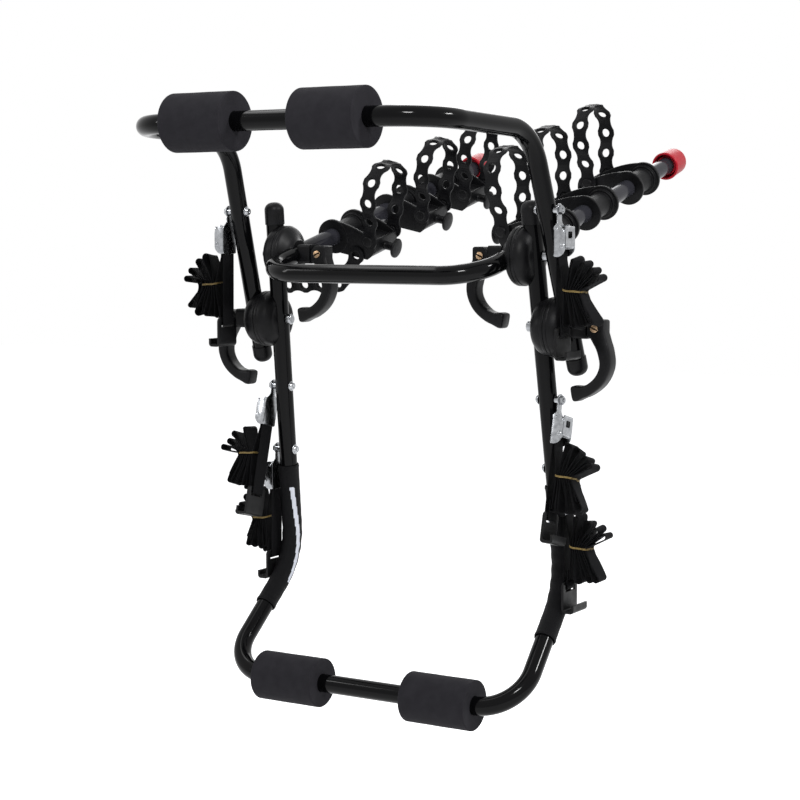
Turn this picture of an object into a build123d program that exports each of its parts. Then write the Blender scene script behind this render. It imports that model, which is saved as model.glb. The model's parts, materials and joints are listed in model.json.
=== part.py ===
from build123d import *
import math
import os

# A three-bike carrier that straps to the rear of a car.
# X runs across the car, Y points away from it and Z is up.
# The origin is the middle of the lower bar's axis, between its two pads.
# Pieces are drawn on the right (+X) and mirrored to the left.

os.makedirs("parts", exist_ok=True)

# Tubes
tube_od = 25.4
tube_wall = 1.6
tube_r = tube_od / 2

# Lower frame: the bar, the bend low on each leg and the top of the legs
leg_top_half, leg_top_y, leg_top_z = 206.0, 83.0, 650.0
leg_splay, bend_y, bend_z = 18.0, 154.0, 141.0
corner_splay = 10.0
bend_half = leg_top_half + leg_splay
bar_corner_half = bend_half + corner_splay
bar_corner_radius = 60.0
bend_radius = 95.0

# Upper frame: the bar, its bends, the corners, and the legs that pass the lower hubs
upper_corner_splay, upper_corner_y, upper_corner_z = 14.0, 17.0, 752.0
upper_bar_splay, upper_bar_y, upper_bar_z = 12.0, -221.0, 759.0
upper_bend_radius = 74.0
upper_corner_radius = 70.0
upper_leg_past_hub = 54.0

# Arms: they pass the upper hubs and rise away from the car
arm_tilt = 14.6
arm_before_hub = 98.5
arm_past_hub = 550.0
arm_corner_radius = 58.0

# Hubs: the heights of their axes, the domed halves and the skewers
lower_hub_z = 496.0
upper_hub_z = 590.0
lower_hub_spread = 41.55
upper_hub_spread = 36.12
hub_radius = 40.0
hub_rim = 6.0
hub_crown_radius = 26.0
hub_over_tube = 4.0
hub_face_gap = 0.2
groove_fit = 0.05
skewer_radius = 4.0
skewer_fit = 0.08
nut_radius = 7.5
nut_height = 7.0

# Quick-release levers: a cam head on a cross pin, and a hooked handle below it
pin_from_tube = 28.5
pin_radius = 5.0
pin_fit = 0.08
pin_proud = 0.6
head_half = 12.0
head_round = 4.0
lever_width = 24.0
lever_edge = 3.0
lever_slot_gap = 0.6
bow_out, bow_mid, bow_drop = 24.0, 48.0, 84.0
handle_thick = 16.0
tip_back, tip_drop = 26.0, 96.0
tip_radius = 10.0
block_gap = 0.4
block_over_tube = 8.0
block_width = 26.0
block_height = 27.0

# End caps
cap_wall = 1.2
leg_cap_grip = 18.0
hub_cap_grip = 12.0
cap_top = 13.0
cap_round = 11.0
bell_radius = 21.0
bell_wall = 3.0
bell_length = 40.0
bell_end = 6.0
bell_round = 6.0
bell_plug = 12.0
socket_wall = 2.6
socket_depth = 22.0

# Foam pads
pad_bore_fit = 0.05
pad_round = 3.5
upper_pad_od, upper_pad_start, upper_pad_length = 75.0, 50.0, 94.5
lower_pad_od, lower_pad_start, lower_pad_length = 68.0, 70.5, 99.5

# Fabric sleeves on the bends of the lower frame
sleeve_wall = 1.2
sleeve_gap = 0.15
sleeve_top_z = 281.0
sleeve_run = 92.0

# Cradles: a flanged collar on the arm and a trough that reaches inward
collar_bore_fit = 0.08
collar_radius = 17.0
flange_radius = 25.5
flange_width = 5.0
step_radius = 21.0
step_width = 4.5
cradle_length = 65.0
trough_reach = 72.0
trough_top = 21.0
trough_nose = 16.0
trough_floor = 5.0
trough_floor_wall = 6.0
trough_keel = 21.0
trough_floor_round = 9.0
nose_round = 7.0
sill_rise = 6.0
sill_width = 5.0
knob_stem_radius = 6.0
knob_stem = 15.0
knob_radius = 14.5
knob_width = 5.0
knob_drop = 4.0
right_cradle_spots = (227.0, 359.0, 510.0)
left_cradle_spots = (226.0, 381.0, 515.0)
left_cradle_droop = 14.0

# Rubber ladder straps and the pegs that hold them
strap_width = 26.0
strap_thick = 4.0
strap_pitch = 32.0
strap_hole_radius = 5.8
waist_depth = 3.0
waist_radius = 20.0
strap_line = 62.0
strap_gap = 0.35
peg_z = 9.0
peg_radius = 5.4
peg_head_radius = 8.0
peg_head_width = 3.0
strap_knee_z = 34.0
strap_hip_z = 62.0
strap_bulge = 45.0
strap_crown_z = 118.0
strap_bend_radius = 42.0
strap_arch_radius = 40.0

# Loose ladder strap: its route in the wall plane of the first left cradle
sway_x = (43.0, 27.0, -70.0)
sway_z = (-17.0, -66.0, -93.0)
sway_bend_radius = 34.0

# Strap bolts through the legs
strap_bolt_radius = 3.0
strap_bolt_fit = 0.08
bolt_head_radius = 6.0
bolt_head_height = 4.5
spacer_radius = 5.5
spacer_gap = 0.2
upper_bolt_z = 650.0
middle_bolt_z = 398.0
low_bolt_z = 304.0
upper_set_swing = 0.0
middle_set_swing = -14.0
low_set_swing = 0.0

# Cam buckles: a channel that swivels on the bolt, and a lever across it
plate = 1.5
buckle_stand = 17.5
ring_radius = 8.5
neck_width = 14.0
buckle_top = 18.0
buckle_bottom = 60.0
buckle_width = 30.0
cheek_depth = 16.0
cheek_corner = 5.0
web_gap = 0.5
cross_bar_radius = 1.0
cross_bar_drop = 24.0
barrel_radius = 4.5
barrel_gap = 0.4
barrel_drop = 46.0
rivet_radius = 2.4
cam_lever_top = 21.5
cam_side_gap = 0.4
cam_window_width, cam_window_height = 12.0, 9.0
cam_window_drop = 6.0

# Webbing and the folds of its hank
web_width = 25.0
web_thick = 1.4
turn_gap = 0.1
turn_share = 0.9
buckle_exit = 64.0
hank_out = 42.0
hank_waist_drop = 103.0
waist_step = 2.7
waist_bend_radius = 11.0
finger_count = 4
finger_length = 38.0
finger_first_angle, finger_last_angle = 12.0, 62.0
finger_radius = 4.3
fold_length = 44.0
fold_first_angle, fold_last_angle = 2.0, 27.0
fold_radius = 4.4
tail_length = 34.0
tail_angle = 35.0
least_gap = 0.4

# Coated hook plates at the ends of the webbing
hook_out = 24.0
hook_drop = 151.0
hook_thick = 3.2
hook_width = 42.0
hook_height = 40.0
hook_bar = 6.0
hook_slot = 7.5
hook_slot_side = 1.5
hook_lip = 15.0
hook_return = 10.0
hook_corner = 6.0
hook_bend_radius = 3.4
sewn_turn_radius = 2.9
sewn_length = 24.0

# One overrun serves all cuts
over = 1.0

arm_direction = Vector(0, math.cos(math.radians(arm_tilt)), math.sin(math.radians(arm_tilt)))
arm_normal = Vector(0, -math.sin(math.radians(arm_tilt)), math.cos(math.radians(arm_tilt)))


def keep(piece, name):
    """Labels a finished piece and writes it."""
    piece.part.label = name
    export_step(piece.part, f"parts/{name}.step")


def between(start, end, z):
    """The point at height z on the line through two points."""
    share = (z - start.Z) / (end.Z - start.Z)
    return start + (end - start) * share


def mirrored(point):
    return Vector(-point.X, point.Y, point.Z)


def bent_tube(half, radii, radius, wall):
    """A hollow tube through half a route and its mirror image, with a radius for each corner."""
    points = half + [mirrored(p) for p in reversed(half)]
    with BuildPart() as tube:
        with BuildLine() as route:
            FilletPolyline(*points, radius=radii + radii[::-1])
        with BuildSketch(Plane(origin=route.line @ 0, z_dir=route.line % 0)):
            Circle(radius)
            Circle(radius - wall, mode=Mode.SUBTRACT)
        sweep(path=route.line)
    return tube


def rod(start, end, radius, mode=Mode.ADD):
    """A round bar, or a bore, between two points. It joins the part around it."""
    with BuildSketch(Plane(origin=start, z_dir=end - start)) as section:
        Circle(radius)
    extrude(section.sketch, amount=(end - start).length, mode=mode)


def cross_bore(centre, radius):
    """A bore along X through the tube at a point."""
    reach = Vector(tube_od, 0, 0)
    rod(centre - reach, centre + reach, radius, Mode.SUBTRACT)


# Legs, hubs and bolts share these points
leg_top = Vector(leg_top_half, leg_top_y, leg_top_z)
leg_bend = Vector(bend_half, bend_y, bend_z)
lower_hub_leg = between(leg_top, leg_bend, lower_hub_z)
upper_hub_leg = between(leg_top, leg_bend, upper_hub_z)
lower_hub_upper_leg = lower_hub_leg + Vector(lower_hub_spread, 0, 0)
upper_corner_half = lower_hub_upper_leg.X - upper_corner_splay
upper_bar_half = upper_corner_half - upper_bar_splay
upper_corner = Vector(upper_corner_half, upper_corner_y, upper_corner_z)
arm_half = upper_hub_leg.X - upper_hub_spread
upper_leg_direction = (lower_hub_upper_leg - upper_corner).normalized()
upper_leg_end = lower_hub_upper_leg + upper_leg_direction * upper_leg_past_hub
lower_leg_direction = (leg_bend - leg_top).normalized()
upper_hub_arm = Vector(arm_half, upper_hub_leg.Y, upper_hub_z)
arm_corner = upper_hub_arm - arm_direction * arm_before_hub
arm_end = upper_hub_arm + arm_direction * arm_past_hub
upper_bolt = between(upper_corner, lower_hub_upper_leg, upper_bolt_z)
middle_bolt = between(leg_top, leg_bend, middle_bolt_z)
low_bolt = between(leg_top, leg_bend, low_bolt_z)


# Lower frame tube
bar_corner = Vector(bar_corner_half, 0, 0)
with BuildPart() as lower_frame_tube:
    add(
        bent_tube(
            [leg_top, leg_bend, bar_corner], [bend_radius, bar_corner_radius], tube_r, tube_wall
        ).part
    )
    for spot in (lower_hub_leg, upper_hub_leg):
        for centre in (spot, mirrored(spot)):
            cross_bore(centre, skewer_radius + skewer_fit)
    for spot in (middle_bolt, low_bolt):
        for centre in (spot, mirrored(spot)):
            cross_bore(centre, strap_bolt_radius + strap_bolt_fit)
keep(lower_frame_tube, "lower_frame_tube")

# Upper frame tube
upper_bar_end = Vector(upper_bar_half, upper_bar_y, upper_bar_z)
with BuildPart() as upper_frame_tube:
    add(
        bent_tube(
            [upper_leg_end, upper_corner, upper_bar_end],
            [upper_corner_radius, upper_bend_radius],
            tube_r,
            tube_wall,
        ).part
    )
    for centre in (lower_hub_upper_leg, mirrored(lower_hub_upper_leg)):
        cross_bore(centre, skewer_radius + skewer_fit)
    for centre in (upper_bolt, mirrored(upper_bolt)):
        cross_bore(centre, strap_bolt_radius + strap_bolt_fit)
keep(upper_frame_tube, "upper_frame_tube")

# Arm tube
with BuildPart() as arm_tube:
    add(bent_tube([arm_end, arm_corner], [arm_corner_radius], tube_r, tube_wall).part)
    for centre in (upper_hub_arm, mirrored(upper_hub_arm)):
        cross_bore(centre, skewer_radius + skewer_fit)
keep(arm_tube, "arm_tube")


def end_caps(end, direction, grip):
    """Domed plastic cups over the ends of a pair of legs."""
    with BuildPart() as caps:
        with BuildSketch(Plane(origin=end - direction * grip, z_dir=direction)):
            Circle(tube_r + cap_wall)
        extrude(amount=grip + cap_top)
        fillet(caps.faces().sort_by(Axis(end, direction))[-1].edges(), cap_round)
        rod(end - direction * (grip + over), end, tube_r + groove_fit, Mode.SUBTRACT)
        mirror(about=Plane.YZ)
    return caps


keep(end_caps(leg_top, -lower_leg_direction, leg_cap_grip), "lower_frame_end_caps")
keep(end_caps(upper_leg_end, upper_leg_direction, hub_cap_grip), "upper_frame_end_caps")

# Red bells on the arm ends: an open skirt round a socket that holds the tube
bell_frame = Plane(origin=arm_end, x_dir=(1, 0, 0), z_dir=arm_direction)
bell_back = bell_frame.offset(bell_plug - bell_length)
with BuildPart() as arm_end_caps:
    with BuildSketch(bell_back):
        Circle(bell_radius)
    extrude(amount=bell_length)
    fillet(arm_end_caps.faces().sort_by(Axis(arm_end, arm_direction))[-1].edges(), bell_round)
    with BuildSketch(bell_back.offset(-over)):
        Circle(bell_radius - bell_wall)
    extrude(amount=bell_length - bell_end + over, mode=Mode.SUBTRACT)
    with BuildSketch(bell_frame.offset(-socket_depth)):
        Circle(tube_r + socket_wall)
    extrude(amount=socket_depth + bell_plug - bell_end / 2)
    with BuildSketch(bell_frame.offset(-socket_depth - over)):
        Circle(tube_r + groove_fit)
    extrude(amount=socket_depth + over, mode=Mode.SUBTRACT)
    mirror(about=Plane.YZ)
keep(arm_end_caps, "arm_end_caps")


def pads(bar, od, start, length):
    """Two foam cylinders on a bar, one on each side of its middle."""
    with BuildPart() as pair:
        with BuildSketch(Plane(origin=bar + Vector(start, 0, 0), z_dir=(1, 0, 0))):
            Circle(od / 2)
        extrude(amount=length)
        fillet(pair.edges(), pad_round)
        inner = bar + Vector(start - over, 0, 0)
        outer = bar + Vector(start + length + over, 0, 0)
        rod(inner, outer, tube_r + pad_bore_fit, Mode.SUBTRACT)
        mirror(about=Plane.YZ)
    return pair


upper_bar = Vector(0, upper_bar_y, upper_bar_z)
keep(pads(upper_bar, upper_pad_od, upper_pad_start, upper_pad_length), "upper_pads")
keep(pads(Vector(0, 0, 0), lower_pad_od, lower_pad_start, lower_pad_length), "lower_pads")

# Sleeves follow the lower frame round its bend
sleeve_top = between(leg_top, leg_bend, sleeve_top_z)
sleeve_end = leg_bend + (bar_corner - leg_bend).normalized() * sleeve_run
with BuildPart() as sleeves:
    with BuildLine() as sleeve_route:
        FilletPolyline(sleeve_top, leg_bend, sleeve_end, radius=bend_radius)
    with BuildSketch(Plane(origin=sleeve_route.line @ 0, z_dir=sleeve_route.line % 0)):
        Circle(tube_r + sleeve_gap + sleeve_wall)
        Circle(tube_r + sleeve_gap, mode=Mode.SUBTRACT)
    sweep(path=sleeve_route.line)
    mirror(about=Plane.YZ)
keep(sleeves, "sleeves")


def hub_halves(tube_point, tube_direction, parting_x):
    """Domed saddles between a tube and the parting plane, one on each side of the rack."""
    toward = math.copysign(1, tube_point.X - parting_x)
    centre = Vector(parting_x, tube_point.Y, tube_point.Z)
    depth = abs(tube_point.X - parting_x) + hub_over_tube
    with BuildPart() as pair:
        with BuildSketch(Plane(origin=centre, x_dir=(toward, 0, 0), z_dir=(0, -toward, 0))):
            with BuildLine():
                Line((hub_face_gap, 0), (hub_face_gap, hub_radius))
                Line((hub_face_gap, hub_radius), (hub_rim, hub_radius))
                shoulder = ((hub_rim + 2 * depth) / 3, (hub_crown_radius + 2 * hub_radius) / 3)
                ThreePointArc((hub_rim, hub_radius), shoulder, (depth, hub_crown_radius))
                Line((depth, hub_crown_radius), (depth, 0))
                Line((depth, 0), (hub_face_gap, 0))
            make_face()
        revolve(axis=Axis(centre, (1, 0, 0)))
        reach = tube_direction * (hub_radius + over)
        rod(tube_point - reach, tube_point + reach, tube_r + groove_fit, Mode.SUBTRACT)
        cross_bore(centre, skewer_radius + skewer_fit)
        mirror(about=Plane.YZ)
    return pair


lower_parting = (lower_hub_leg.X + lower_hub_upper_leg.X) / 2
upper_parting = (upper_hub_arm.X + upper_hub_leg.X) / 2
keep(hub_halves(lower_hub_leg, lower_leg_direction, lower_parting), "lower_hub_inner_halves")
keep(hub_halves(lower_hub_upper_leg, upper_leg_direction, lower_parting), "lower_hub_outer_halves")
keep(hub_halves(upper_hub_leg, lower_leg_direction, upper_parting), "upper_hub_outer_halves")
keep(hub_halves(upper_hub_arm, arm_direction, upper_parting), "upper_hub_inner_halves")


def skewers(near_tube, far_tube):
    """Rods through a hub, with a round nut past the far tube and a cross pin past the near one."""
    out = math.copysign(1, near_tube.X - far_tube.X)
    outward = Vector(out, 0, 0)
    pin = near_tube + outward * (tube_r + pin_from_tube)
    nut_face = far_tube - outward * (tube_r + over)
    half_pin = Vector(0, lever_width / 2 + pin_proud, 0)
    with BuildPart() as pair:
        rod(nut_face, pin, skewer_radius)
        rod(nut_face - outward * nut_height, nut_face, nut_radius)
        fillet(pair.faces().sort_by(Axis(pin, outward))[0].edges(), nut_height / 3)
        rod(pin - half_pin, pin + half_pin, pin_radius)
        mirror(about=Plane.YZ)
    return pair, pin, out


lower_skewers, lower_pin, lower_out = skewers(lower_hub_upper_leg, lower_hub_leg)
upper_skewers, upper_pin, upper_out = skewers(upper_hub_arm, upper_hub_leg)
keep(lower_skewers, "lower_skewers")
keep(upper_skewers, "upper_skewers")


def lever_blocks(tube_point, tube_direction, out):
    """Blocks that seat on the tube and carry the cam heads."""
    start = tube_point + Vector(out * block_over_tube, 0, 0)
    length = tube_r + pin_from_tube - head_half - block_gap - block_over_tube
    with BuildPart() as pair:
        with BuildSketch(Plane(origin=start, x_dir=(0, 1, 0), z_dir=(out, 0, 0))):
            RectangleRounded(block_width, block_height, head_round)
        extrude(amount=length)
        reach = tube_direction * (block_height + over)
        rod(tube_point - reach, tube_point + reach, tube_r + groove_fit, Mode.SUBTRACT)
        bore_end = start + Vector(out * (length + over), 0, 0)
        rod(start, bore_end, skewer_radius + skewer_fit, Mode.SUBTRACT)
        mirror(about=Plane.YZ)
    return pair


keep(lever_blocks(lower_hub_upper_leg, upper_leg_direction, lower_out), "lower_lever_blocks")
keep(lever_blocks(upper_hub_arm, arm_direction, upper_out), "upper_lever_blocks")


def quick_lever(pin, out):
    """A cam head, round where it rolls on its block, and a handle that bows out and hooks back."""
    with BuildPart() as lever:
        with BuildSketch(Plane(origin=pin, x_dir=(out, 0, 0), z_dir=(0, -out, 0))) as outline:
            with BuildLine():
                inner_low = (bow_out - handle_thick, -bow_mid)
                Line((-head_half, head_half), (head_half, head_half))
                Line((head_half, head_half), (head_half, -head_half))
                ThreePointArc((head_half, -head_half), (bow_out, -bow_mid), (0, -bow_drop))
                Line((0, -bow_drop), (-tip_back, -tip_drop))
                ThreePointArc(
                    (-tip_back, -tip_drop),
                    (-tip_back - tip_radius, -tip_drop + tip_radius),
                    (-tip_back, -tip_drop + 2 * tip_radius),
                )
                ThreePointArc(
                    (-tip_back, -tip_drop + 2 * tip_radius),
                    (bow_out / 2 - tip_radius, -bow_mid - tip_radius),
                    inner_low,
                )
                ThreePointArc(
                    inner_low, (handle_thick / 3, (-bow_mid - head_half) / 2), (-head_half, -head_half)
                )
                Line((-head_half, -head_half), (-head_half, head_half))
            make_face()
            corners = outline.vertices()
            cam_corner = corners.group_by(Axis.Y)[-1].sort_by(Axis.X)[0]
            fillet([corner for corner in corners if corner != cam_corner], head_round)
            fillet(outline.vertices().group_by(Axis.Y)[-1].sort_by(Axis.X)[0], head_half)
        extrude(amount=lever_width / 2, both=True)
        fillet(lever.faces().filter_by(Axis.Y).edges(), lever_edge)
        slot = 2 * skewer_radius + lever_slot_gap
        slot_reach = head_half + over
        slot_centre = pin + Vector(out * (slot / 2 - slot_reach) / 2, 0, (slot_reach - slot / 2) / 2)
        with Locations(slot_centre):
            Box(slot_reach + slot / 2, slot, slot_reach + slot / 2, mode=Mode.SUBTRACT)
        bore = Vector(0, lever_width, 0)
        rod(pin - bore, pin + bore, pin_radius + pin_fit, Mode.SUBTRACT)
    return lever


for name, pin, out in (("lower", lower_pin, lower_out), ("upper", upper_pin, upper_out)):
    right_lever = quick_lever(pin, out)
    keep(right_lever, f"{name}_lever_right")
    with BuildPart() as left_lever:
        mirror(right_lever.part, about=Plane.YZ)
    keep(left_lever, f"{name}_lever_left")


# Cradle, drawn with the arm along Y, the trough reaching along +X and Z up from the arm
half_length = cradle_length / 2
with BuildPart() as cradle:
    with BuildSketch(Plane.XZ):
        with BuildLine():
            Polyline(
                (0, -collar_radius),
                (0, trough_top),
                (trough_reach - nose_round, trough_nose),
                (trough_reach, trough_nose - nose_round),
                (trough_reach, -trough_floor_wall),
                (trough_reach - 2 * nose_round, -trough_keel),
                (collar_radius, -trough_keel),
                (0, -collar_radius),
            )
        make_face()
    extrude(amount=half_length, both=True)
    fillet(cradle.edges().filter_by(Axis.Y).sort_by(Axis.X)[-4:], nose_round / 2)
    for start, end, floor in (
        (-over, trough_reach - sill_width, trough_floor),
        (trough_reach - sill_width - over, trough_reach + over, trough_floor + sill_rise),
    ):
        with BuildSketch(Plane.YZ.offset(start)) as channel:
            with Locations((0, floor)):
                Rectangle(
                    cradle_length - 2 * flange_width, trough_top, align=(Align.CENTER, Align.MIN)
                )
            fillet(channel.vertices().group_by(Axis.Y)[0], trough_floor_round)
        extrude(amount=end - start, mode=Mode.SUBTRACT)
    with BuildSketch(Plane.XY):
        with BuildLine():
            Polyline(
                (0, 0),
                (0, half_length),
                (flange_radius, half_length),
                (flange_radius, half_length - flange_width),
                (step_radius, half_length - flange_width),
                (step_radius, half_length - flange_width - step_width),
                (collar_radius, half_length - flange_width - step_width),
                (collar_radius, 0),
                (0, 0),
            )
        make_face()
        mirror(about=Plane.XZ)
    revolve(axis=Axis.Y)
    rod(
        Vector(0, -half_length - over, 0),
        Vector(0, half_length + over, 0),
        tube_r + collar_bore_fit,
        Mode.SUBTRACT,
    )
    knob_root = Vector(trough_reach - sill_width, 0, -knob_drop)
    knob_face = Vector(trough_reach + knob_stem, 0, -knob_drop)
    rod(knob_root, knob_face, knob_stem_radius)
    rod(knob_face, knob_face + Vector(knob_width, 0, 0), knob_radius)
    fillet(cradle.faces().sort_by(Axis.X)[-1].edges(), knob_width / 3)
    for end in (-1, 1):
        wall = Vector(strap_line, end * half_length, peg_z)
        shoulder = wall + Vector(0, end * (strap_thick + 2 * strap_gap), 0)
        rod(wall - Vector(0, end * flange_width / 2, 0), shoulder, peg_radius)
        rod(shoulder, shoulder + Vector(0, end * peg_head_width, 0), peg_head_radius)


def ladder_cuts(line, face, mode=Mode.SUBTRACT):
    """Holes a pitch apart along a strap and waists between them. face(share) is its normal."""
    count = round(line.length / strap_pitch)
    for share in [i / count for i in range(1, count)]:
        rod_through(line @ share, face(share), strap_hole_radius, mode)
    for share in [(i + 1 / 2) / count for i in range(count)]:
        across = face(share).cross(line % share).normalized()
        reach = strap_width / 2 - waist_depth + waist_radius
        for side in (-1, 1):
            rod_through(line @ share + across * side * reach, face(share), waist_radius, mode)


def rod_through(centre, direction, radius, mode):
    """A disc as thick as a strap, or a cut through its thickness."""
    beyond = over if mode == Mode.SUBTRACT else 0
    reach = direction.normalized() * (strap_thick / 2 + beyond)
    rod(centre - reach, centre + reach, radius, mode)


# Strap of a cradle: an upright loop over the trough, held by both pegs
strap_seat = half_length + strap_gap + strap_thick / 2
strap_half = [(strap_seat, peg_z), (strap_seat, strap_knee_z), (strap_bulge, strap_hip_z)]
strap_half.append((strap_bulge, strap_crown_z))
strap_points = [Vector(strap_line, y, z) for y, z in strap_half]
strap_points += [Vector(p.X, -p.Y, p.Z) for p in reversed(strap_points)]
strap_radii = [strap_bend_radius, strap_bend_radius, strap_arch_radius]
with BuildPart() as ladder_strap:
    with BuildLine() as strap_route:
        FilletPolyline(*strap_points, radius=strap_radii + strap_radii[::-1])
    with BuildSketch(Plane(strap_route.line @ 0, x_dir=(1, 0, 0), z_dir=strap_route.line % 0)):
        Rectangle(strap_width, strap_thick)
    sweep(path=strap_route.line)
    for end in (-1, 1):
        disc = Vector(strap_line, end * (half_length + strap_gap), peg_z)
        rod(disc, disc + Vector(0, end * strap_thick, 0), strap_width / 2)
    strap_wire = strap_route.wire()
    ladder_cuts(strap_wire, lambda share: (strap_wire % share).cross(Vector(1, 0, 0)))
    peg_hole = Vector(0, cradle_length, 0)
    peg_centre = Vector(strap_line, 0, peg_z)
    rod(peg_centre - peg_hole, peg_centre + peg_hole, peg_radius + strap_gap, Mode.SUBTRACT)


def cradle_frame(side, spot):
    """The cradle's own frame on the right (side 1) or left (-1) arm, spot from the cross bar."""
    droop = math.radians(left_cradle_droop) if side < 0 else 0
    inward = Vector(-side, 0, 0)
    origin = Vector(side * arm_half, arm_corner.Y, arm_corner.Z) + arm_direction * spot
    x_dir = inward * math.cos(droop) - arm_normal * math.sin(droop)
    z_dir = arm_normal * math.cos(droop) + inward * math.sin(droop)
    return Plane(origin=origin, x_dir=x_dir, z_dir=z_dir)


order = ("first", "second", "third")
for side_name, side, spots in (("right", 1, right_cradle_spots), ("left", -1, left_cradle_spots)):
    for place, spot in zip(order, spots):
        home = cradle_frame(side, spot).location
        with BuildPart() as placed_cradle:
            add(cradle.part.moved(home))
        keep(placed_cradle, f"cradle_{side_name}_{place}")
        with BuildPart() as placed_strap:
            add(ladder_strap.part.moved(home))
        keep(placed_strap, f"cradle_strap_{side_name}_{place}")

# Loose ladder strap that hangs against the first left cradle's wall and passes under the arm
sway_plane_y = -(half_length + strap_gap + strap_thick / 2)
sway_points = [Vector(x, sway_plane_y, z) for x, z in zip(sway_x, sway_z)]
with BuildPart() as loose_strap:
    with BuildLine() as sway_route:
        FilletPolyline(*sway_points, radius=sway_bend_radius)
    with BuildSketch(Plane(sway_route.line @ 0, x_dir=(0, 1, 0), z_dir=sway_route.line % 0)):
        Rectangle(strap_thick, strap_width)
    sweep(path=sway_route.line)
    sway_wire = sway_route.wire()
    for share in (0, 1):
        rod_through(sway_wire @ share, Vector(0, 1, 0), strap_width / 2, Mode.ADD)
        rod_through(sway_wire @ share, Vector(0, 1, 0), strap_hole_radius, Mode.SUBTRACT)
    ladder_cuts(sway_wire, lambda share: Vector(0, 1, 0))
with BuildPart() as sway_strap:
    add(loose_strap.part.moved(cradle_frame(-1, left_cradle_spots[0]).location))
keep(sway_strap, "sway_strap")


def strap_bolts(spots, leg_direction):
    """Bolts through the legs, with a head inside, and a spacer and a nut outside."""
    outward = Vector(1, 0, 0)
    with BuildPart() as bolts:
        for spot in spots:
            head = spot - outward * (tube_r + bolt_head_height)
            nut = spot + outward * (buckle_stand + plate + spacer_gap)
            with BuildSketch(Plane(origin=head, z_dir=outward)) as hexagon:
                RegularPolygon(bolt_head_radius, 6)
            extrude(hexagon.sketch, amount=tube_r + bolt_head_height)
            rod(spot, spot + outward * (buckle_stand - spacer_gap), spacer_radius)
            reach = leg_direction * tube_od
            rod(spot - reach, spot + reach, tube_r + groove_fit, Mode.SUBTRACT)
            rod(head + outward * bolt_head_height / 2, nut, strap_bolt_radius)
            with BuildSketch(Plane(origin=nut, z_dir=outward)) as hexagon:
                RegularPolygon(bolt_head_radius, 6)
            extrude(hexagon.sketch, amount=bolt_head_height)
        mirror(about=Plane.YZ)
    return bolts


keep(strap_bolts([upper_bolt], upper_leg_direction), "upper_strap_bolts")
keep(strap_bolts([middle_bolt, low_bolt], lower_leg_direction), "lower_strap_bolts")

# Buckle and webbing, drawn with the bolt's axis on X through the origin
up_run = buckle_stand + plate + web_gap + web_thick / 2
bar_turn_radius = cross_bar_radius + turn_gap + web_thick / 2
cross_bar_x = up_run + bar_turn_radius
down_run = cross_bar_x + bar_turn_radius
barrel_x = down_run + web_thick / 2 + barrel_gap + barrel_radius
cheek_out = buckle_stand + cheek_depth
inner_half = buckle_width / 2 - plate

with BuildPart() as buckle:
    with BuildSketch(Plane.YZ.offset(buckle_stand)):
        Circle(ring_radius)
        with Locations((0, -buckle_top / 2)):
            Rectangle(neck_width, buckle_top)
        with Locations((0, -buckle_top)):
            Rectangle(buckle_width, buckle_bottom - buckle_top, align=(Align.CENTER, Align.MAX))
        Circle(strap_bolt_radius + strap_bolt_fit, mode=Mode.SUBTRACT)
    extrude(amount=plate)
    for side in (-1, 1):
        with BuildSketch(Plane.XZ.offset(side * (buckle_width - plate) / 2 - plate / 2)):
            with BuildLine():
                Polyline(
                    (buckle_stand, -buckle_top),
                    (cheek_out - cheek_corner, -buckle_top),
                    (cheek_out, -buckle_top - cheek_corner),
                    (cheek_out, -buckle_bottom + cheek_corner),
                    (cheek_out - cheek_corner, -buckle_bottom),
                    (buckle_stand, -buckle_bottom),
                    (buckle_stand, -buckle_top),
                )
            make_face()
        extrude(amount=plate)
    bar = Vector(cross_bar_x, 0, -cross_bar_drop)
    half_bar = Vector(0, buckle_width / 2, 0)
    rod(bar - half_bar, bar + half_bar, cross_bar_radius)
    barrel = Vector(barrel_x, 0, -barrel_drop)
    rod(barrel - half_bar, barrel + half_bar, rivet_radius + strap_bolt_fit, Mode.SUBTRACT)

cam_half = Vector(0, inner_half - cam_side_gap, 0)
cam_face = barrel_x + barrel_radius
with BuildPart() as cam:
    rod(barrel - half_bar, barrel + half_bar, rivet_radius)
    rod(barrel - cam_half, barrel + cam_half, barrel_radius)
    with BuildSketch(Plane.YZ.offset(cam_face - plate)):
        with Locations((0, -barrel_drop)):
            Rectangle(2 * cam_half.Y, barrel_drop - cam_lever_top, align=(Align.CENTER, Align.MIN))
        with Locations((0, -cam_lever_top - cam_window_drop)):
            Rectangle(
                cam_window_width,
                cam_window_height,
                align=(Align.CENTER, Align.MAX),
                mode=Mode.SUBTRACT,
            )
    extrude(amount=plate)


def turn_corners(centre, direction, radius, side):
    """The two corners of a half turn round a centre, entered on one side of its direction."""
    normal = Vector(direction.Z, 0, -direction.X) * side
    return [centre - normal * radius + direction * radius, centre + normal * radius + direction * radius]


def fan(first, last, i):
    """Direction of fold i of a fan, whose angles are measured from Z towards +X."""
    angle = math.radians(first + (last - first) * i / (finger_count - 1))
    return Vector(math.sin(angle), 0, math.cos(angle))


# The route starts at the sewn end, goes through the hook's slot, up to the buckle's
# cross bar and down again, then zigzags through the waist of the hank.
waist = Vector(hank_out, 0, -hank_waist_drop)
runs = 2 * finger_count + 1


def waist_point(run):
    return waist + Vector((run - (runs - 1) / 2) * waist_step, 0, 0)


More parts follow.
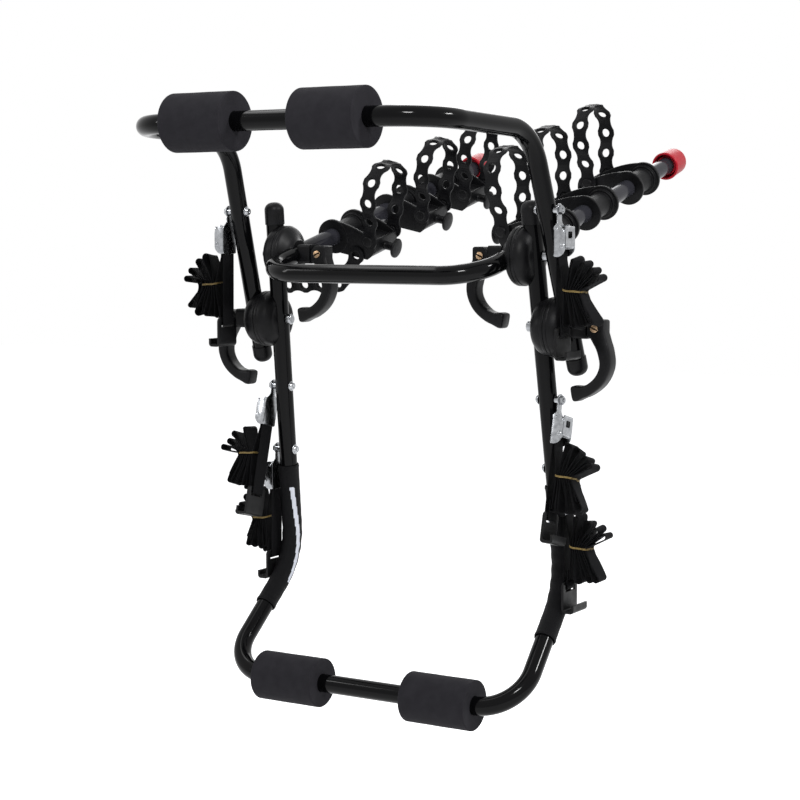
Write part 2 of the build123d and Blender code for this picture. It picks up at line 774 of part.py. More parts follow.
slot_z = -hook_drop - hook_bar - sewn_turn_radius + web_thick
hook_turn = Vector(hook_out, 0, slot_z)
bar_turn = Vector(cross_bar_x, 0, -cross_bar_drop)
down = Vector(0, 0, -1)
up = Vector(0, 0, 1)
route = [Vector(hook_out + sewn_turn_radius, 0, slot_z + sewn_length)]
radii = []
route += turn_corners(hook_turn, down, sewn_turn_radius, 1)
radii += [sewn_turn_radius * turn_share] * 2
route += [Vector(up_run, 0, -buckle_exit)]
radii += [waist_bend_radius]
route += turn_corners(bar_turn, up, bar_turn_radius, 1)
radii += [bar_turn_radius * turn_share] * 2
route += [Vector(down_run, 0, -buckle_exit)]
radii += [waist_bend_radius]
for i in range(finger_count):
    fold_way = fan(fold_first_angle, fold_last_angle, i)
    fold_way = Vector(fold_way.X, 0, -fold_way.Z)
    fold_root = (waist_point(2 * i) + waist_point(2 * i + 1)) / 2
    finger_way = fan(finger_first_angle, finger_last_angle, i)
    finger_root = (waist_point(2 * i + 1) + waist_point(2 * i + 2)) / 2
    route += [waist_point(2 * i)]
    radii += [waist_bend_radius]
    route += turn_corners(fold_root + fold_way * fold_length, fold_way, fold_radius, -1)
    radii += [fold_radius * turn_share] * 2
    route += [waist_point(2 * i + 1)]
    radii += [waist_bend_radius]
    route += turn_corners(finger_root + finger_way * finger_length, finger_way, finger_radius, 1)
    radii += [finger_radius * turn_share] * 2
tail_way = Vector(math.sin(math.radians(tail_angle)), 0, -math.cos(math.radians(tail_angle)))
route += [waist_point(runs - 1), waist_point(runs - 1) + tail_way * tail_length]
radii += [waist_bend_radius]

with BuildPart() as webbing:
    with BuildLine() as web_route:
        FilletPolyline(*route, radius=radii)
    with BuildSketch(Plane(web_route.line @ 0, x_dir=(0, 1, 0), z_dir=web_route.line % 0)):
        Rectangle(web_width, web_thick)
    sweep(path=web_route.line)


def least_web_gap(line):
    """The least gap between two stretches of webbing, measured on points along it."""
    count = int(line.length / web_thick)
    points = [line @ (i / count) for i in range(count + 1)]
    apart = math.ceil(math.pi * bar_turn_radius / web_thick)
    best = line.length
    for i, point in enumerate(points):
        for other in points[i + apart :]:
            best = min(best, (other - point).length)
    return best - web_thick


web_wire = web_route.wire()
web_gap_found = least_web_gap(web_wire)
print(f"webbing length {web_wire.length:.0f} mm, least gap {web_gap_found:.2f} mm")
assert web_gap_found > least_gap

# Hook plate: a slotted plate with a lip and a short return at its foot
with BuildPart() as hook:
    foot = -hook_drop - hook_height
    with BuildLine() as hook_route:
        FilletPolyline(
            Vector(hook_out, 0, -hook_drop),
            Vector(hook_out, 0, foot),
            Vector(hook_out + hook_lip, 0, foot),
            Vector(hook_out + hook_lip, 0, foot + hook_return),
            radius=hook_bend_radius,
        )
    with BuildSketch(Plane(hook_route.line @ 0, x_dir=(0, 1, 0), z_dir=hook_route.line % 0)):
        Rectangle(hook_width, hook_thick)
    sweep(path=hook_route.line)
    with BuildSketch(Plane.YZ.offset(hook_out - hook_thick)):
        with Locations((0, -hook_drop - hook_bar)):
            Rectangle(
                web_width + 2 * hook_slot_side, hook_slot, align=(Align.CENTER, Align.MAX)
            )
    extrude(amount=2 * hook_thick, mode=Mode.SUBTRACT)
    fillet(hook.edges().filter_by(Axis.X).group_by(Axis.Z)[-1], hook_corner)

# Six strap sets hang from the bolts. The middle ones swing towards the car past the low ones.
for height, spot, swing in (
    ("upper", upper_bolt, upper_set_swing),
    ("middle", middle_bolt, middle_set_swing),
    ("low", low_bolt, low_set_swing),
):
    for kind, shape in (
        ("buckle", buckle),
        ("buckle_cam", cam),
        ("webbing", webbing),
        ("hook", hook),
    ):
        with BuildPart() as placed_right:
            add(shape.part.moved(Location(spot) * Rotation(swing, 0, 0)))
        keep(placed_right, f"{height}_{kind}_right")
        with BuildPart() as placed_left:
            mirror(placed_right.part, about=Plane.YZ)
        keep(placed_left, f"{height}_{kind}_left")
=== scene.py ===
import json
import math

import bmesh
import bpy
import numpy as np
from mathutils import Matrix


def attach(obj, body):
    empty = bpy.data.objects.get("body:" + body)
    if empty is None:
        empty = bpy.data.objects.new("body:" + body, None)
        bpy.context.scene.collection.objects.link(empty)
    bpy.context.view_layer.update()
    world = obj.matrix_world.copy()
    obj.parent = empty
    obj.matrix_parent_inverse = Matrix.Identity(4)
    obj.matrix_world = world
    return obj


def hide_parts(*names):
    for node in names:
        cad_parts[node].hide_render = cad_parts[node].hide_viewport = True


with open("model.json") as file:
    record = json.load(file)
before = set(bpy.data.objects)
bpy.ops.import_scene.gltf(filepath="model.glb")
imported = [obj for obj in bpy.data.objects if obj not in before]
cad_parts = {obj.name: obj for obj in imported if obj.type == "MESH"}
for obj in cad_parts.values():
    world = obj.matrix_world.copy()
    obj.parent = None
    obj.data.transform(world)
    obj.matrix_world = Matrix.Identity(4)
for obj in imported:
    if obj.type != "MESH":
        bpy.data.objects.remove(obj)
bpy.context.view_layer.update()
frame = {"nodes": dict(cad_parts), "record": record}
cadNodes = frame["nodes"]
print("frame loaded:", len(cadNodes), "nodes")

mm = 0.001
pole = 0.01  # radius in millimetres that a turned shape's ends close at
sides = {"right": 1, "left": -1}

# Places shared by several pieces, in millimetres
rack = {
    "tubeRadius": 12.7,
    "legTop": (206.0, 83.0, 650.0), "legBend": (224.0, 154.0, 141.0), "barCorner": (234.0, 0.0, 0.0),
    "upperCorner": (238.996, 17.0, 752.0), "upperBar": (226.996, -221.0, 759.0),
    "lowerHubZ": 496.0, "upperHubZ": 590.0, "upperLegAtHub": 252.996, "upperLegPastHub": 54.0,
    "armHalf": 172.002, "armTilt": 14.6, "armBeforeHub": 98.5, "armPastHub": 550.0,
    "pinFromTube": 28.5,
}


# Routes, profiles and grids, all as numpy arrays in millimetres
def unit(v):
    return v / np.linalg.norm(v, axis=-1, keepdims=True)


def point(*xyz):
    return np.array(xyz, float)


def roundedRoute(corners, radii, step=2.0):
    # straight runs joined by arcs: a corner is cut back by radius / tan(half its angle)
    corners = np.array(corners, float)
    parts = [corners[:1]]
    for i, radius in enumerate(radii, 1):
        back, ahead = unit(corners[i - 1] - corners[i]), unit(corners[i + 1] - corners[i])
        half = math.acos(np.clip(back @ ahead, -1, 1)) / 2
        inward, along = unit(back + ahead), unit(ahead - back)
        turn = math.pi / 2 - half
        a = np.linspace(-turn, turn, max(7, int(radius * 2 * turn / step) + 1))[:, None]
        centre = corners[i] + inward * radius / math.sin(half)
        parts.append(centre + radius * (along * np.sin(a) - inward * np.cos(a)))
    parts.append(corners[-1:])
    return evenly(np.concatenate(parts), step)


def lengthsAlong(path):
    # the length run at each point: the sum of the steps before it
    return np.r_[0, np.cumsum(np.linalg.norm(np.diff(path, axis=0), axis=1))]


def sampled(values, along, at):
    # rows of three numbers, known at some lengths along a path, read off in straight lines at others
    return np.stack([np.interp(at, along, values[:, k]) for k in range(3)], -1)


def evenly(path, step):
    # the same line with its points a step apart
    far = lengthsAlong(path)
    return sampled(path, far, np.linspace(0, far[-1], max(3, int(far[-1] / step) + 1)))


def carried(path, profile, reference):
    # a flat profile carried along a path: across = tangent x reference, up = across x tangent
    tangent = unit(np.gradient(path, axis=0))
    across = unit(np.cross(tangent, reference))
    up = np.cross(across, tangent)
    return path[:, None] + across[:, None] * profile[None, :, :1] + up[:, None] * profile[None, :, 1:]


def circle(radius, count):
    # radius x (cos a, sin a) all the way round
    a = np.arange(count) * 2 * math.pi / count
    return np.stack([np.cos(a), np.sin(a)], 1) * radius


def arc(radius, start, end, count):
    # radius x (cos a, sin a) from one angle to the other, in degrees
    a = np.linspace(math.radians(start), math.radians(end), count)
    return np.stack([np.cos(a), np.sin(a)], 1) * radius


def flatBand(width, thick):
    # cross-section of a woven strap: two long sides with rounded selvedges
    w = np.linspace(-1, 1, 9)[1:-1] * (width - thick) / 2
    right = arc(thick / 2, -90, 90, 5) + ((width - thick) / 2, 0)
    top = np.stack([w[::-1], np.full(len(w), thick / 2)], 1)
    return np.concatenate([right, top, -right, -top])


def turned(profile, centre, axis, count=72):
    # rows of (distance along the axis, radius) turned about it
    axis = unit(np.array(axis, float))
    side = unit(np.cross(axis, (0.31, 0.52, 0.79)))
    other = np.cross(axis, side)
    a = np.arange(count) * 2 * math.pi / count
    ring = np.cos(a)[:, None] * side + np.sin(a)[:, None] * other
    profile = np.array(profile, float)
    return np.array(centre) + profile[:, None, :1] * axis + profile[:, None, 1:] * ring[None]


def softened(profile, radius, steps=5):
    # a profile whose corners are replaced by short curves
    profile = np.array(profile, float)
    rows = [profile[:1]]
    for a, b, c in zip(profile, profile[1:], profile[2:]):
        reach = min(radius, np.linalg.norm(a - b) * 0.49, np.linalg.norm(c - b) * 0.49)
        start, end = b + unit(a - b) * reach, b + unit(c - b) * reach
        t = np.linspace(0, 1, steps)[:, None]
        rows.append(start * (1 - t) ** 2 + 2 * b * t * (1 - t) + end * t**2)
    rows.append(profile[-1:])
    return np.concatenate(rows)


def slab(outline, thick, edge=0.8):
    # a flat shape with rounded rims: its outline drawn in by edge x (1 - sin) at depths edge x (1 - cos)
    outline = np.array(outline, float)
    way = unit(np.roll(outline, -1, 0) - np.roll(outline, 1, 0))
    ahead = np.roll(outline, -1, 0)
    turn = np.sign(np.sum(outline[:, 0] * ahead[:, 1] - outline[:, 1] * ahead[:, 0]))
    inward = np.stack([-way[:, 1], way[:, 0]], 1) * turn
    t = np.linspace(0, math.pi / 2, 4)
    depth = np.concatenate([-thick / 2 + edge * (1 - np.cos(t)), thick / 2 - edge * (1 - np.cos(t[::-1]))])
    inset = np.concatenate([edge * (1 - np.sin(t)), edge * (1 - np.sin(t[::-1]))])
    flat = outline[None] + inward[None] * inset[:, None, None]
    return np.stack([flat[..., 0], np.broadcast_to(depth[:, None], flat.shape[:2]), flat[..., 1]], -1)


def closedOutline(corners, radius, steps=6):
    # a closed shape with each corner rounded by up to radius
    corners = np.array(corners, float)
    middle = (corners[:1] + corners[-1:]) / 2
    return softened(np.concatenate([middle, corners, middle]), radius, steps)[:-1]


def bothWays(grids):
    # the right side's grids and their mirror images across X
    return grids + [grid * (-1, 1, 1) for grid in grids]


def sheetFaces(rows, cols, wrap):
    # quads between neighbouring rows and columns of a grid
    r, c = np.meshgrid(np.arange(rows - 1), np.arange(cols if wrap else cols - 1), indexing="ij")
    n = (c + 1) % cols
    return np.stack([r * cols + c, r * cols + n, (r + 1) * cols + n, (r + 1) * cols + c], -1).reshape(-1, 4)


def makePiece(name, grids, body, slot, replaces=(), coat=None, wrap=True, ends=True, angle=40):
    # grids of points in millimetres become one mesh; u and v of its map are millimetres too
    points, faces, corners, start = [], [], [], 0
    for grid in grids:
        rows, cols = grid.shape[:2]
        points.append(grid.reshape(-1, 3))
        quads = sheetFaces(rows, cols, wrap)
        faces += (quads + start).tolist()
        u = lengthsAlong(grid.mean(1))
        v = lengthsAlong(np.concatenate([grid[rows // 2], grid[rows // 2][:1]]))
        r, c = quads // cols, quads % cols
        c = np.where((c == 0) & (np.array([0, 1, 1, 0]) == 1) & wrap, cols, c)
        corners.append(np.stack([u[r], v[c]], -1).reshape(-1, 2))
        if ends and wrap:
            for row in (0, rows - 1):
                faces.append((np.arange(cols) + start + row * cols).tolist())
                corners.append(np.stack([np.full(cols, u[row]), v[:cols]], -1))
        start += rows * cols
    mesh = bpy.data.meshes.new(name)
    mesh.from_pydata((np.concatenate(points) * mm).tolist(), [], faces)
    layer = mesh.uv_layers.new(name="millimetres")
    layer.data.foreach_set("uv", np.concatenate(corners).astype(np.float32).ravel())
    return finishPiece(name, mesh, body, slot, replaces, coat, angle)


def finishPiece(name, mesh, body, slot, replaces=(), coat=None, angle=40, merge=0.0):
    # faces outwards, hard edges past an angle, and the slot's own paint unless a coat is named
    work = bmesh.new()
    work.from_mesh(mesh)
    if merge:
        bmesh.ops.remove_doubles(work, verts=work.verts, dist=merge * mm)
    bmesh.ops.recalc_face_normals(work, faces=work.faces)
    work.to_mesh(mesh)
    work.free()
    mesh.shade_smooth()
    mesh.set_sharp_from_angle(angle=math.radians(angle))
    piece = bpy.data.objects.new(name, mesh)
    bpy.context.scene.collection.objects.link(piece)
    mesh.materials.append(paint[coat or slotPaint[slot]])
    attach(piece, body)
    if replaces:
        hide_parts(*replaces)
    return piece


# Materials


def hexColour(text):
    # sRGB hex to linear
    c = np.array([int(text[i : i + 2], 16) for i in (1, 3, 5)]) / 255
    return (*np.where(c <= 0.04045, c / 12.92, ((c + 0.055) / 1.055) ** 2.4), 1)


def addNode(tree, kind, feeds=None, into=None, ramp=(), **settings):
    # one node with its settings; feeds link a source, or set a number; into is a socket of the shader
    node = tree.nodes.new("ShaderNode" + kind)
    for key, value in settings.items():
        if hasattr(node, key) and not key[0].isupper():
            setattr(node, key, value)
        else:
            node.inputs[key.replace("_", " ")].default_value = value
    for element, (place, level) in zip(node.color_ramp.elements if ramp else (), ramp):
        element.position = place
        element.color = hexColour(level) if isinstance(level, str) else (level, level, level, 1)
    for socket, source in (feeds or {}).items():
        if isinstance(source, (int, float)):
            node.inputs[socket].default_value = source
        else:
            tree.links.new(getattr(source, "outputs", [source])[0], node.inputs[socket])
    if into:
        tree.links.new(node.outputs[0], tree.nodes["Principled BSDF"].inputs[into])
    return node


def makeMaterial(name, colour, roughness, specular=0.5, metallic=0, tint=(), polish=(), relief=(), edge=0):
    # tint and polish blend two colours or two roughness values by noise: (grain in mm, detail, low, high);
    # relief is bump: (grain in mm, detail, strength, depth in mm); edge rounds the look of corners, in mm
    material = bpy.data.materials.new(name)
    material.use_nodes = True
    tree = material.node_tree
    sockets = tree.nodes["Principled BSDF"].inputs
    sockets["Base Color"].default_value = hexColour(colour)
    sockets["Roughness"].default_value = roughness
    sockets["Metallic"].default_value = metallic
    sockets["Specular IOR Level"].default_value = specular
    for socket, pattern in (("Base Color", tint), ("Roughness", polish), ("Normal", relief)):
        if pattern:
            grain, detail, low, high = pattern
            where = addNode(tree, "TexCoord").outputs["Object"]
            noise = addNode(tree, "TexNoise", {"Vector": where}, Scale=1 / (grain * mm), Detail=detail)
            if socket != "Normal":
                addNode(tree, "ValToRGB", {"Fac": noise}, socket, [(0.35, low), (0.65, high)])
                continue
            feeds = {"Height": noise}
            if edge:
                feeds["Normal"] = addNode(tree, "Bevel", samples=6, Radius=edge * mm)
            addNode(tree, "Bump", feeds, socket, Strength=low, Distance=high * mm)
    return material


# each real finish and what it gives the eye: name, colour, roughness, specular level, then its patterns
paint = {
    # gloss black powder coat on steel tube: deep black, sharp reflections, faint orange peel
    "frame": makeMaterial(
        "glossPowderCoat", "#060607", 0.09, 0.1, polish=(60, 3, 0.08, 0.13), relief=(9, 1, 0.05, 0.06)),
    # the same coat on the cross bar and the arms, with a charcoal painted reflection laid on the arms past
    # the hubs
    "arm": makeMaterial(
        "armCoat", "#060607", 0.12, 0.12, polish=(40, 3, 0.09, 0.16), relief=(9, 1, 0.05, 0.06)),
    # closed-cell rubber foam with a cut skin: charcoal, matte, finely pored
    "foam": makeMaterial("closedCellFoam", "#1c1b1f", 0.85, 0.15, tint=(14, 5, "#1b1a1e", "#201f23")),
    # moulded glass-filled nylon: soft black with a spark-eroded grain
    "nylon": makeMaterial(
        "mouldedNylon", "#0b0b0c", 0.38, 0.12, tint=(9, 4, "#09090a", "#0e0e10"), polish=(30, 3, 0.34, 0.47),
        relief=(0.9, 3, 0.2, 0.08), edge=0.8),
    # injection-moulded polyethylene: strong red, a soft shine where fingers polish it
    "red": makeMaterial(
        "redPolyethylene", "#9c0a1c", 0.42, 0.25, tint=(16, 3, "#950819", "#a50e22"),
        relief=(1.4, 3, 0.15, 0.08)),
    # pressed steel with bright zinc plating: pale mirror with faint crystals and rubbed edges
    "zinc": makeMaterial(
        "brightZincPlate", "#9a9c9f", 0.22, metallic=1.0, tint=(5, 4, "#8d8f92", "#a6a8ab"),
        polish=(6, 3, 0.16, 0.26), relief=(12, 1, 0.03, 0.1)),
    # turned brass pin ends: a worn, slightly coppery shine
    "brass": makeMaterial("turnedBrass", "#c0a080", 0.36, metallic=1.0, tint=(3, 4, "#ab8a68", "#cdb090")),
    # moulded natural rubber: near black, faint bloom, satin sheen
    "rubber": makeMaterial(
        "mouldedRubber", "#0a0a0b", 0.46, 0.1, tint=(12, 5, "#08080a", "#0e0e10"), polish=(20, 3, 0.38, 0.55),
        relief=(1.3, 3, 0.18, 0.1)),
    # woven polyester webbing: dull black, ribbed
    "webbing": makeMaterial("wovenWebbing", "#080809", 0.8, 0.08),
    # coated oxford cloth: creased black with a plain white stripe
    "sleeve": makeMaterial("coatedOxford", "#08080a", 0.6, 0.1),
    # steel plate dipped in soft vinyl: rounded edges, a slightly dull skin
    "vinyl": makeMaterial(
        "vinylDip", "#0b0b0c", 0.4, 0.15, polish=(10, 3, 0.36, 0.5), relief=(3, 3, 0.15, 0.15), edge=1.2),
    # thin natural-rubber band: tan, with a soft shine
    "elastic": makeMaterial("tanElastic", "#86703c", 0.55, tint=(4, 3, "#7e6938", "#967f48")),
}


def paintedReflectionPastHubs(tree):
    # black on the cross bar blends to a charcoal painted reflection on the arms between Y = 100 and 160 mm
    split = addNode(tree, "SeparateXYZ", {0: addNode(tree, "TexCoord").outputs["Object"]})
    along = addNode(tree, "MapRange", {"Value": split.outputs["Y"]}, From_Min=0.1, From_Max=0.16)
    addNode(tree, "ValToRGB", {"Fac": along}, "Base Color", [(0, "#060607"), (1, "#2b2b30")])


def foamPores(tree):
    # pores over lumps of 6 mm; real pores are finer than 1.1 mm, and are drawn coarse enough to show
    where = addNode(tree, "TexCoord").outputs["Object"]
    pores = addNode(tree, "TexVoronoi", {"Vector": where}, Scale=1 / (1.1 * mm))
    lumps = addNode(tree, "TexNoise", {"Vector": where}, Scale=1 / (6 * mm), Detail=3)
    height = addNode(tree, "Math", {0: pores, 1: lumps}, operation="ADD")
    addNode(tree, "Bump", {"Height": height}, "Normal", Strength=0.15, Distance=0.2 * mm)


def webbingWeave(tree):
    # sine along x sine across: ribs over the strap every 1.6 mm, wales along it every 2.2 mm
    flat = addNode(tree, "SeparateXYZ", {0: addNode(tree, "UVMap", uv_map="millimetres")})
    threads = []
    for axis, spacing in (("X", 1.6), ("Y", 2.2)):
        phase = addNode(tree, "Math", {0: flat.outputs[axis], 1: 2 * math.pi / spacing}, operation="MULTIPLY")
        threads.append(addNode(tree, "Math", {0: phase}, operation="SINE"))
    weave = addNode(tree, "Math", {0: threads[0], 1: threads[1]}, operation="MULTIPLY")
    level = addNode(tree, "Math", {0: weave, 1: 0.5, 2: 0.5}, operation="MULTIPLY_ADD")
    addNode(tree, "ValToRGB", {"Fac": level}, "Base Color", [(0.1, "#050506"), (0.9, "#0d0d0f")])
    addNode(tree, "Bump", {"Height": level}, "Normal", Strength=0.6, Distance=0.35 * mm)


def sleeveWeave(tree):
    # threads every 1.4 mm over creases of 7 mm; the stripe is an attribute of the sleeve's own points
    stripe = addNode(tree, "Attribute", attribute_name="stripe").outputs["Fac"]
    addNode(tree, "ValToRGB", {"Fac": stripe}, "Base Color", [(0.49, "#08080a"), (0.51, "#d4d7e0")])
    flat, where = addNode(tree, "UVMap", uv_map="millimetres"), addNode(tree, "TexCoord").outputs["Object"]
    threads = addNode(tree, "TexWave", {"Vector": flat}, Scale=1 / 1.4, Distortion=0.6).outputs["Fac"]
    creases = addNode(tree, "TexNoise", {"Vector": where}, Scale=1 / (7 * mm), Detail=4)
    height = addNode(tree, "Math", {0: threads, 1: creases}, operation="ADD")
    addNode(tree, "Bump", {"Height": height}, "Normal", Strength=0.5, Distance=0.5 * mm)


patterns = {"arm": paintedReflectionPastHubs, "foam": foamPores, "webbing": webbingWeave, "sleeve": sleeveWeave}
for key, pattern in patterns.items():
    pattern(paint[key].node_tree)

slotPaint = {
    "frame_paint": "frame", "arm_paint": "arm", "foam": "foam", "cap_plastic": "nylon",
    "red_plastic": "red", "sleeve_fabric": "sleeve", "hub_plastic": "nylon", "zinc": "zinc",
    "skewer_steel": "zinc", "lever_plastic": "nylon", "cradle_plastic": "nylon",
    "strap_rubber": "rubber", "webbing": "webbing", "hook_coat": "vinyl",
}
for part in frame["record"]["subparts"]:
    node = cadNodes[part["node"]]
    node.data.materials.clear()
    node.data.materials.append(paint[slotPaint[part["material_slot"]]])
print("materials made:", len(paint))


# The three bent tubes


def onLine(start, end, z):
    # the point of a straight line at a height
    return start + (end - start) * (z - start[2]) / (end[2] - start[2])


corners = ("legTop", "legBend", "barCorner", "upperCorner", "upperBar")
legTop, legBend, barCorner, upperCorner, upperBar = (point(*rack[key]) for key in corners)
tilt = math.radians(rack["armTilt"])
armWay, armUp = point(0, math.cos(tilt), math.sin(tilt)), point(0, -math.sin(tilt), math.cos(tilt))
lowerHub, upperHub = (onLine(legTop, legBend, rack[key]) for key in ("lowerHubZ", "upperHubZ"))
legWay = unit(legBend - legTop)
upperLegHub = point(rack["upperLegAtHub"], lowerHub[1], lowerHub[2])
upperLegWay = unit(upperLegHub - upperCorner)
upperLegEnd = upperLegHub + upperLegWay * rack["upperLegPastHub"]
armHub = point(rack["armHalf"], upperHub[1], upperHub[2])
armCorner = armHub - armWay * rack["armBeforeHub"]
armEnd = armHub + armWay * rack["armPastHub"]

# one half's corners and their radii, a direction that no stretch of the tube runs along, its body and slot
tubes = {
    "lower_frame_tube": ([legTop, legBend, barCorner], [95, 60], (0, 1, -0.35), "lower_frame", "frame_paint"),
    "upper_frame_tube": (
        [upperLegEnd, upperCorner, upperBar], [70, 74], (0, 0.5, 1), "upper_frame", "frame_paint"),
    "arm_tube": ([armEnd, armCorner], [58], (0, -0.2, 1), "arms", "arm_paint"),
}
for name, (half, radii, reference, body, slot) in tubes.items():
    other = [corner * (-1, 1, 1) for corner in reversed(half)]
    route = roundedRoute(half + other, radii + radii[::-1])
    grid = carried(route, circle(rack["tubeRadius"], 48), reference)
    makePiece(name.replace("_tube", "Tube"), [grid], body, slot, [name])
print("tubes made")


# Cups on the legs' ends, and red bells on the arms' ends

capSizes = {"wall": 1.2, "legGrip": 18.0, "hubGrip": 12.0, "top": 13.0, "round": 11.0}


def cup(end, way, grip):
    # a cup with a soft lip, straight sides and a high dome
    outer, top, bend = rack["tubeRadius"] + capSizes["wall"], capSizes["top"], capSizes["round"]
    dome = arc(bend, 90, 0, 16) + (top - bend, outer - bend)
    side = softened([(-grip, outer - 1), (-grip, outer), (0, outer)], 0.6)
    tip = [(top, 1.2), (top, pole)]
    return turned(np.concatenate([side, dome, tip]), end, way)


for name, end, way, grip, body in (
    ("lower_frame_end_caps", legTop, -legWay, capSizes["legGrip"], "lower_frame"),
    ("upper_frame_end_caps", upperLegEnd, upperLegWay, capSizes["hubGrip"], "upper_frame"),
):
    grid = cup(end, way, grip)
    makePiece(name.replace("_end_caps", "Cups"), bothWays([grid]), body, "cap_plastic", [name])

bell = {"radius": 21.0, "wall": 3.0, "length": 40.0, "plug": 12.0, "socket": 15.3, "socketDepth": 22.0}


def bellGrid():
    # from the tube's socket out along the floor, down the skirt's inside, round its lip and over its end
    back = bell["plug"] - bell["length"]
    inner, outer = bell["radius"] - bell["wall"], bell["radius"]
    floor = bell["plug"] - 6.0
    outline = [
        (0, rack["tubeRadius"] + 0.05), (-bell["socketDepth"], rack["tubeRadius"] + 0.05),
        (-bell["socketDepth"], bell["socket"]), (floor, bell["socket"]), (floor, inner), (back, inner - 0.4),
        (back, outer + 0.5), (back + 4, outer + 0.5), (back + 5, outer - 0.2), (bell["plug"], outer - 1.2),
        (bell["plug"], pole),
    ]
    return turned(softened(outline, 2.2), armEnd, armWay, 96)


makePiece("armBells", bothWays([bellGrid()]), "arms", "red_plastic", ["arm_end_caps"], ends=False)
print("caps made")


# Foam pads, two on each bar

padSizes = {
    "upper": {"centre": (0, -221, 759), "radius": 37.5, "start": 50.0, "length": 94.5, "body": "upper_frame"},
    "lower": {"centre": (0, 0, 0), "radius": 34.0, "start": 70.5, "length": 99.5, "body": "lower_frame"},
}
padEdge, padBore, padWave, padDish = 1.8, 12.9, 0.12, 0.8


def padGrid(size):
    # a thick-walled roll: rounded ends that dish in a little round the tube, and a skin with slow waves
    r, length = size["radius"], size["length"]
    left = arc(padEdge, 180, 90, 9) + (padEdge, r - padEdge)
    right = arc(padEdge, 90, 0, 9) + (length - padEdge, r - padEdge)
    ring = np.linspace(padBore, r - padEdge - 2, 7)
    dish = padDish * np.cos((ring - padBore) / (r - padBore) * math.pi / 2) ** 2
    middle = np.stack([np.linspace(padEdge, length - padEdge, 42)[1:-1], np.full(40, r)], 1)
    rows = np.concatenate([
        [[8, padBore]], np.stack([dish, ring], 1), left, middle, right,
        np.stack([length - dish[::-1], ring[::-1]], 1), [[length - 8, padBore]],
    ])
    centre = point(*size["centre"])
    grid = turned(rows, centre + (size["start"], 0, 0), (1, 0, 0), 96)
    away = grid - centre
    angle = np.arctan2(away[..., 2], away[..., 1])
    wave = padWave * (np.sin(away[..., 0] / 11 + 2 * angle) * np.cos(3 * angle + away[..., 0] / 23) - 1)
    radial = away * (0, 1, 1)
    reach = np.linalg.norm(radial, axis=-1, keepdims=True)
    return grid + radial / reach * (wave * np.clip((reach[..., 0] - 25) / 8, 0, 1))[..., None]


for name, size in padSizes.items():
    for side, sign in sides.items():
        grid = padGrid(size) * (sign, 1, 1)
        pad = makePiece(f"{name}Pad_{side}", [grid], size["body"], "foam", [f"{name}_pads"], ends=False)
print("pads made")


# Cloth sleeves on the low bends

sleeve = {"topZ": 281.0, "run": 92.0, "radius": 14.3, "bend": 95.0, "cloth": 0.8, "stripeWide": 6.5}


def makeSleeves():
    # cloth carried round the bend, with creases that deepen inside it; the stripe follows its outer side
    top, end = onLine(legTop, legBend, sleeve["topZ"]), legBend + unit(barCorner - legBend) * sleeve["run"]
    route = roundedRoute([top, legBend, end], [sleeve["bend"]], 1.2)
    u = lengthsAlong(route)
    angle = np.arange(72) * 2 * math.pi / 72
    grid = carried(route, circle(sleeve["radius"], len(angle)), (0, 1, -0.35))
    middle = np.exp(-((u / u[-1] - 0.55) ** 2) / 0.04)[:, None]
    crease = np.sin(u[:, None] / 3.1 + 1.3 * np.sin(angle * 2)[None]) * (0.15 + 0.55 * middle)
    hem = 0.7 * (np.exp(-((u - 3) ** 2) / 3) + np.exp(-((u - u[-1] + 3) ** 2) / 3))[:, None]
    swell = 1 + (0.35 + crease * 0.5 + hem) / sleeve["radius"]
    grid = route[:, None] + (grid - route[:, None]) * swell[..., None]
    share = u / u[-1]
    place = 4.1 - 1.4 * share  # where the stripe runs round the tube
    apart = np.abs((angle[None] - place[:, None] + math.pi) % (2 * math.pi) - math.pi) * sleeve["radius"]
    inked = (apart < sleeve["stripeWide"] / 2) & (share[:, None] > 0.14) & (share[:, None] < 0.8)
    grids = bothWays([grid])
    piece = makePiece("clothSleeves", grids, "lower_frame", "sleeve_fabric", ["sleeves"], ends=False)
    stripe = piece.data.attributes.new("stripe", "FLOAT", "POINT")
    stripe.data.foreach_set("value", np.tile(inked.ravel().astype(np.float32), 2))
    thick = piece.modifiers.new("Solidify", "SOLIDIFY")
    thick.thickness, thick.offset = sleeve["cloth"] * mm, -1


makeSleeves()
print("sleeves made")


# Rubber ladder straps: six loops over the cradles and a loose one

ladder = {
    "width": 26.0, "thick": 4.0, "pitch": 32.0, "hole": 6.3, "waist": 3.6, "waistRadius": 20.0, "rim": 0.9,
    "rings": (0, 0.16, 0.34, 0.6, 0.85, 1.0),  # from a link's hole to its border
    "rises": (0.45, 1.0, 0.25, 0, 0, -0.35),  # each ring's height, as a share of the rim
}


def edgeOf(t):
    # half width at a distance t from a waist: the scallop is an arc, then the edge is straight
    reach = ladder["width"] / 2 - ladder["waist"] + ladder["waistRadius"]
    arc = reach - np.sqrt(np.maximum(ladder["waistRadius"] ** 2 - t**2, 0))
    return np.minimum(arc, ladder["width"] / 2)


def linkOutline(pitch, before, after):
    # the border of one link as rays from its hole: scalloped edges, straight joins, or a round end
    half, halfWidth = pitch / 2, ladder["width"] / 2
    join = math.atan2(halfWidth - ladder["waist"], half)
    stops = (-join, join, math.pi - join, math.pi + join, 2 * math.pi - join)
    angle = np.concatenate([np.linspace(*span)[:-1] for span in zip(stops, stops[1:], (7, 19, 7, 19))])
    c, s = np.cos(angle), np.sin(angle)
    reach = np.full(len(angle), halfWidth)
    for _ in range(30):
        reach = edgeOf(half - np.minimum(np.abs(reach * c), half)) / np.maximum(np.abs(s), 1e-6)
        reach = np.minimum(reach, half / np.maximum(np.abs(c), 1e-6))
    reach = np.where((c < -0.02) & (not before), halfWidth, reach)
    reach = np.where((c > 0.02) & (not after), halfWidth, reach)
    return c, s, reach


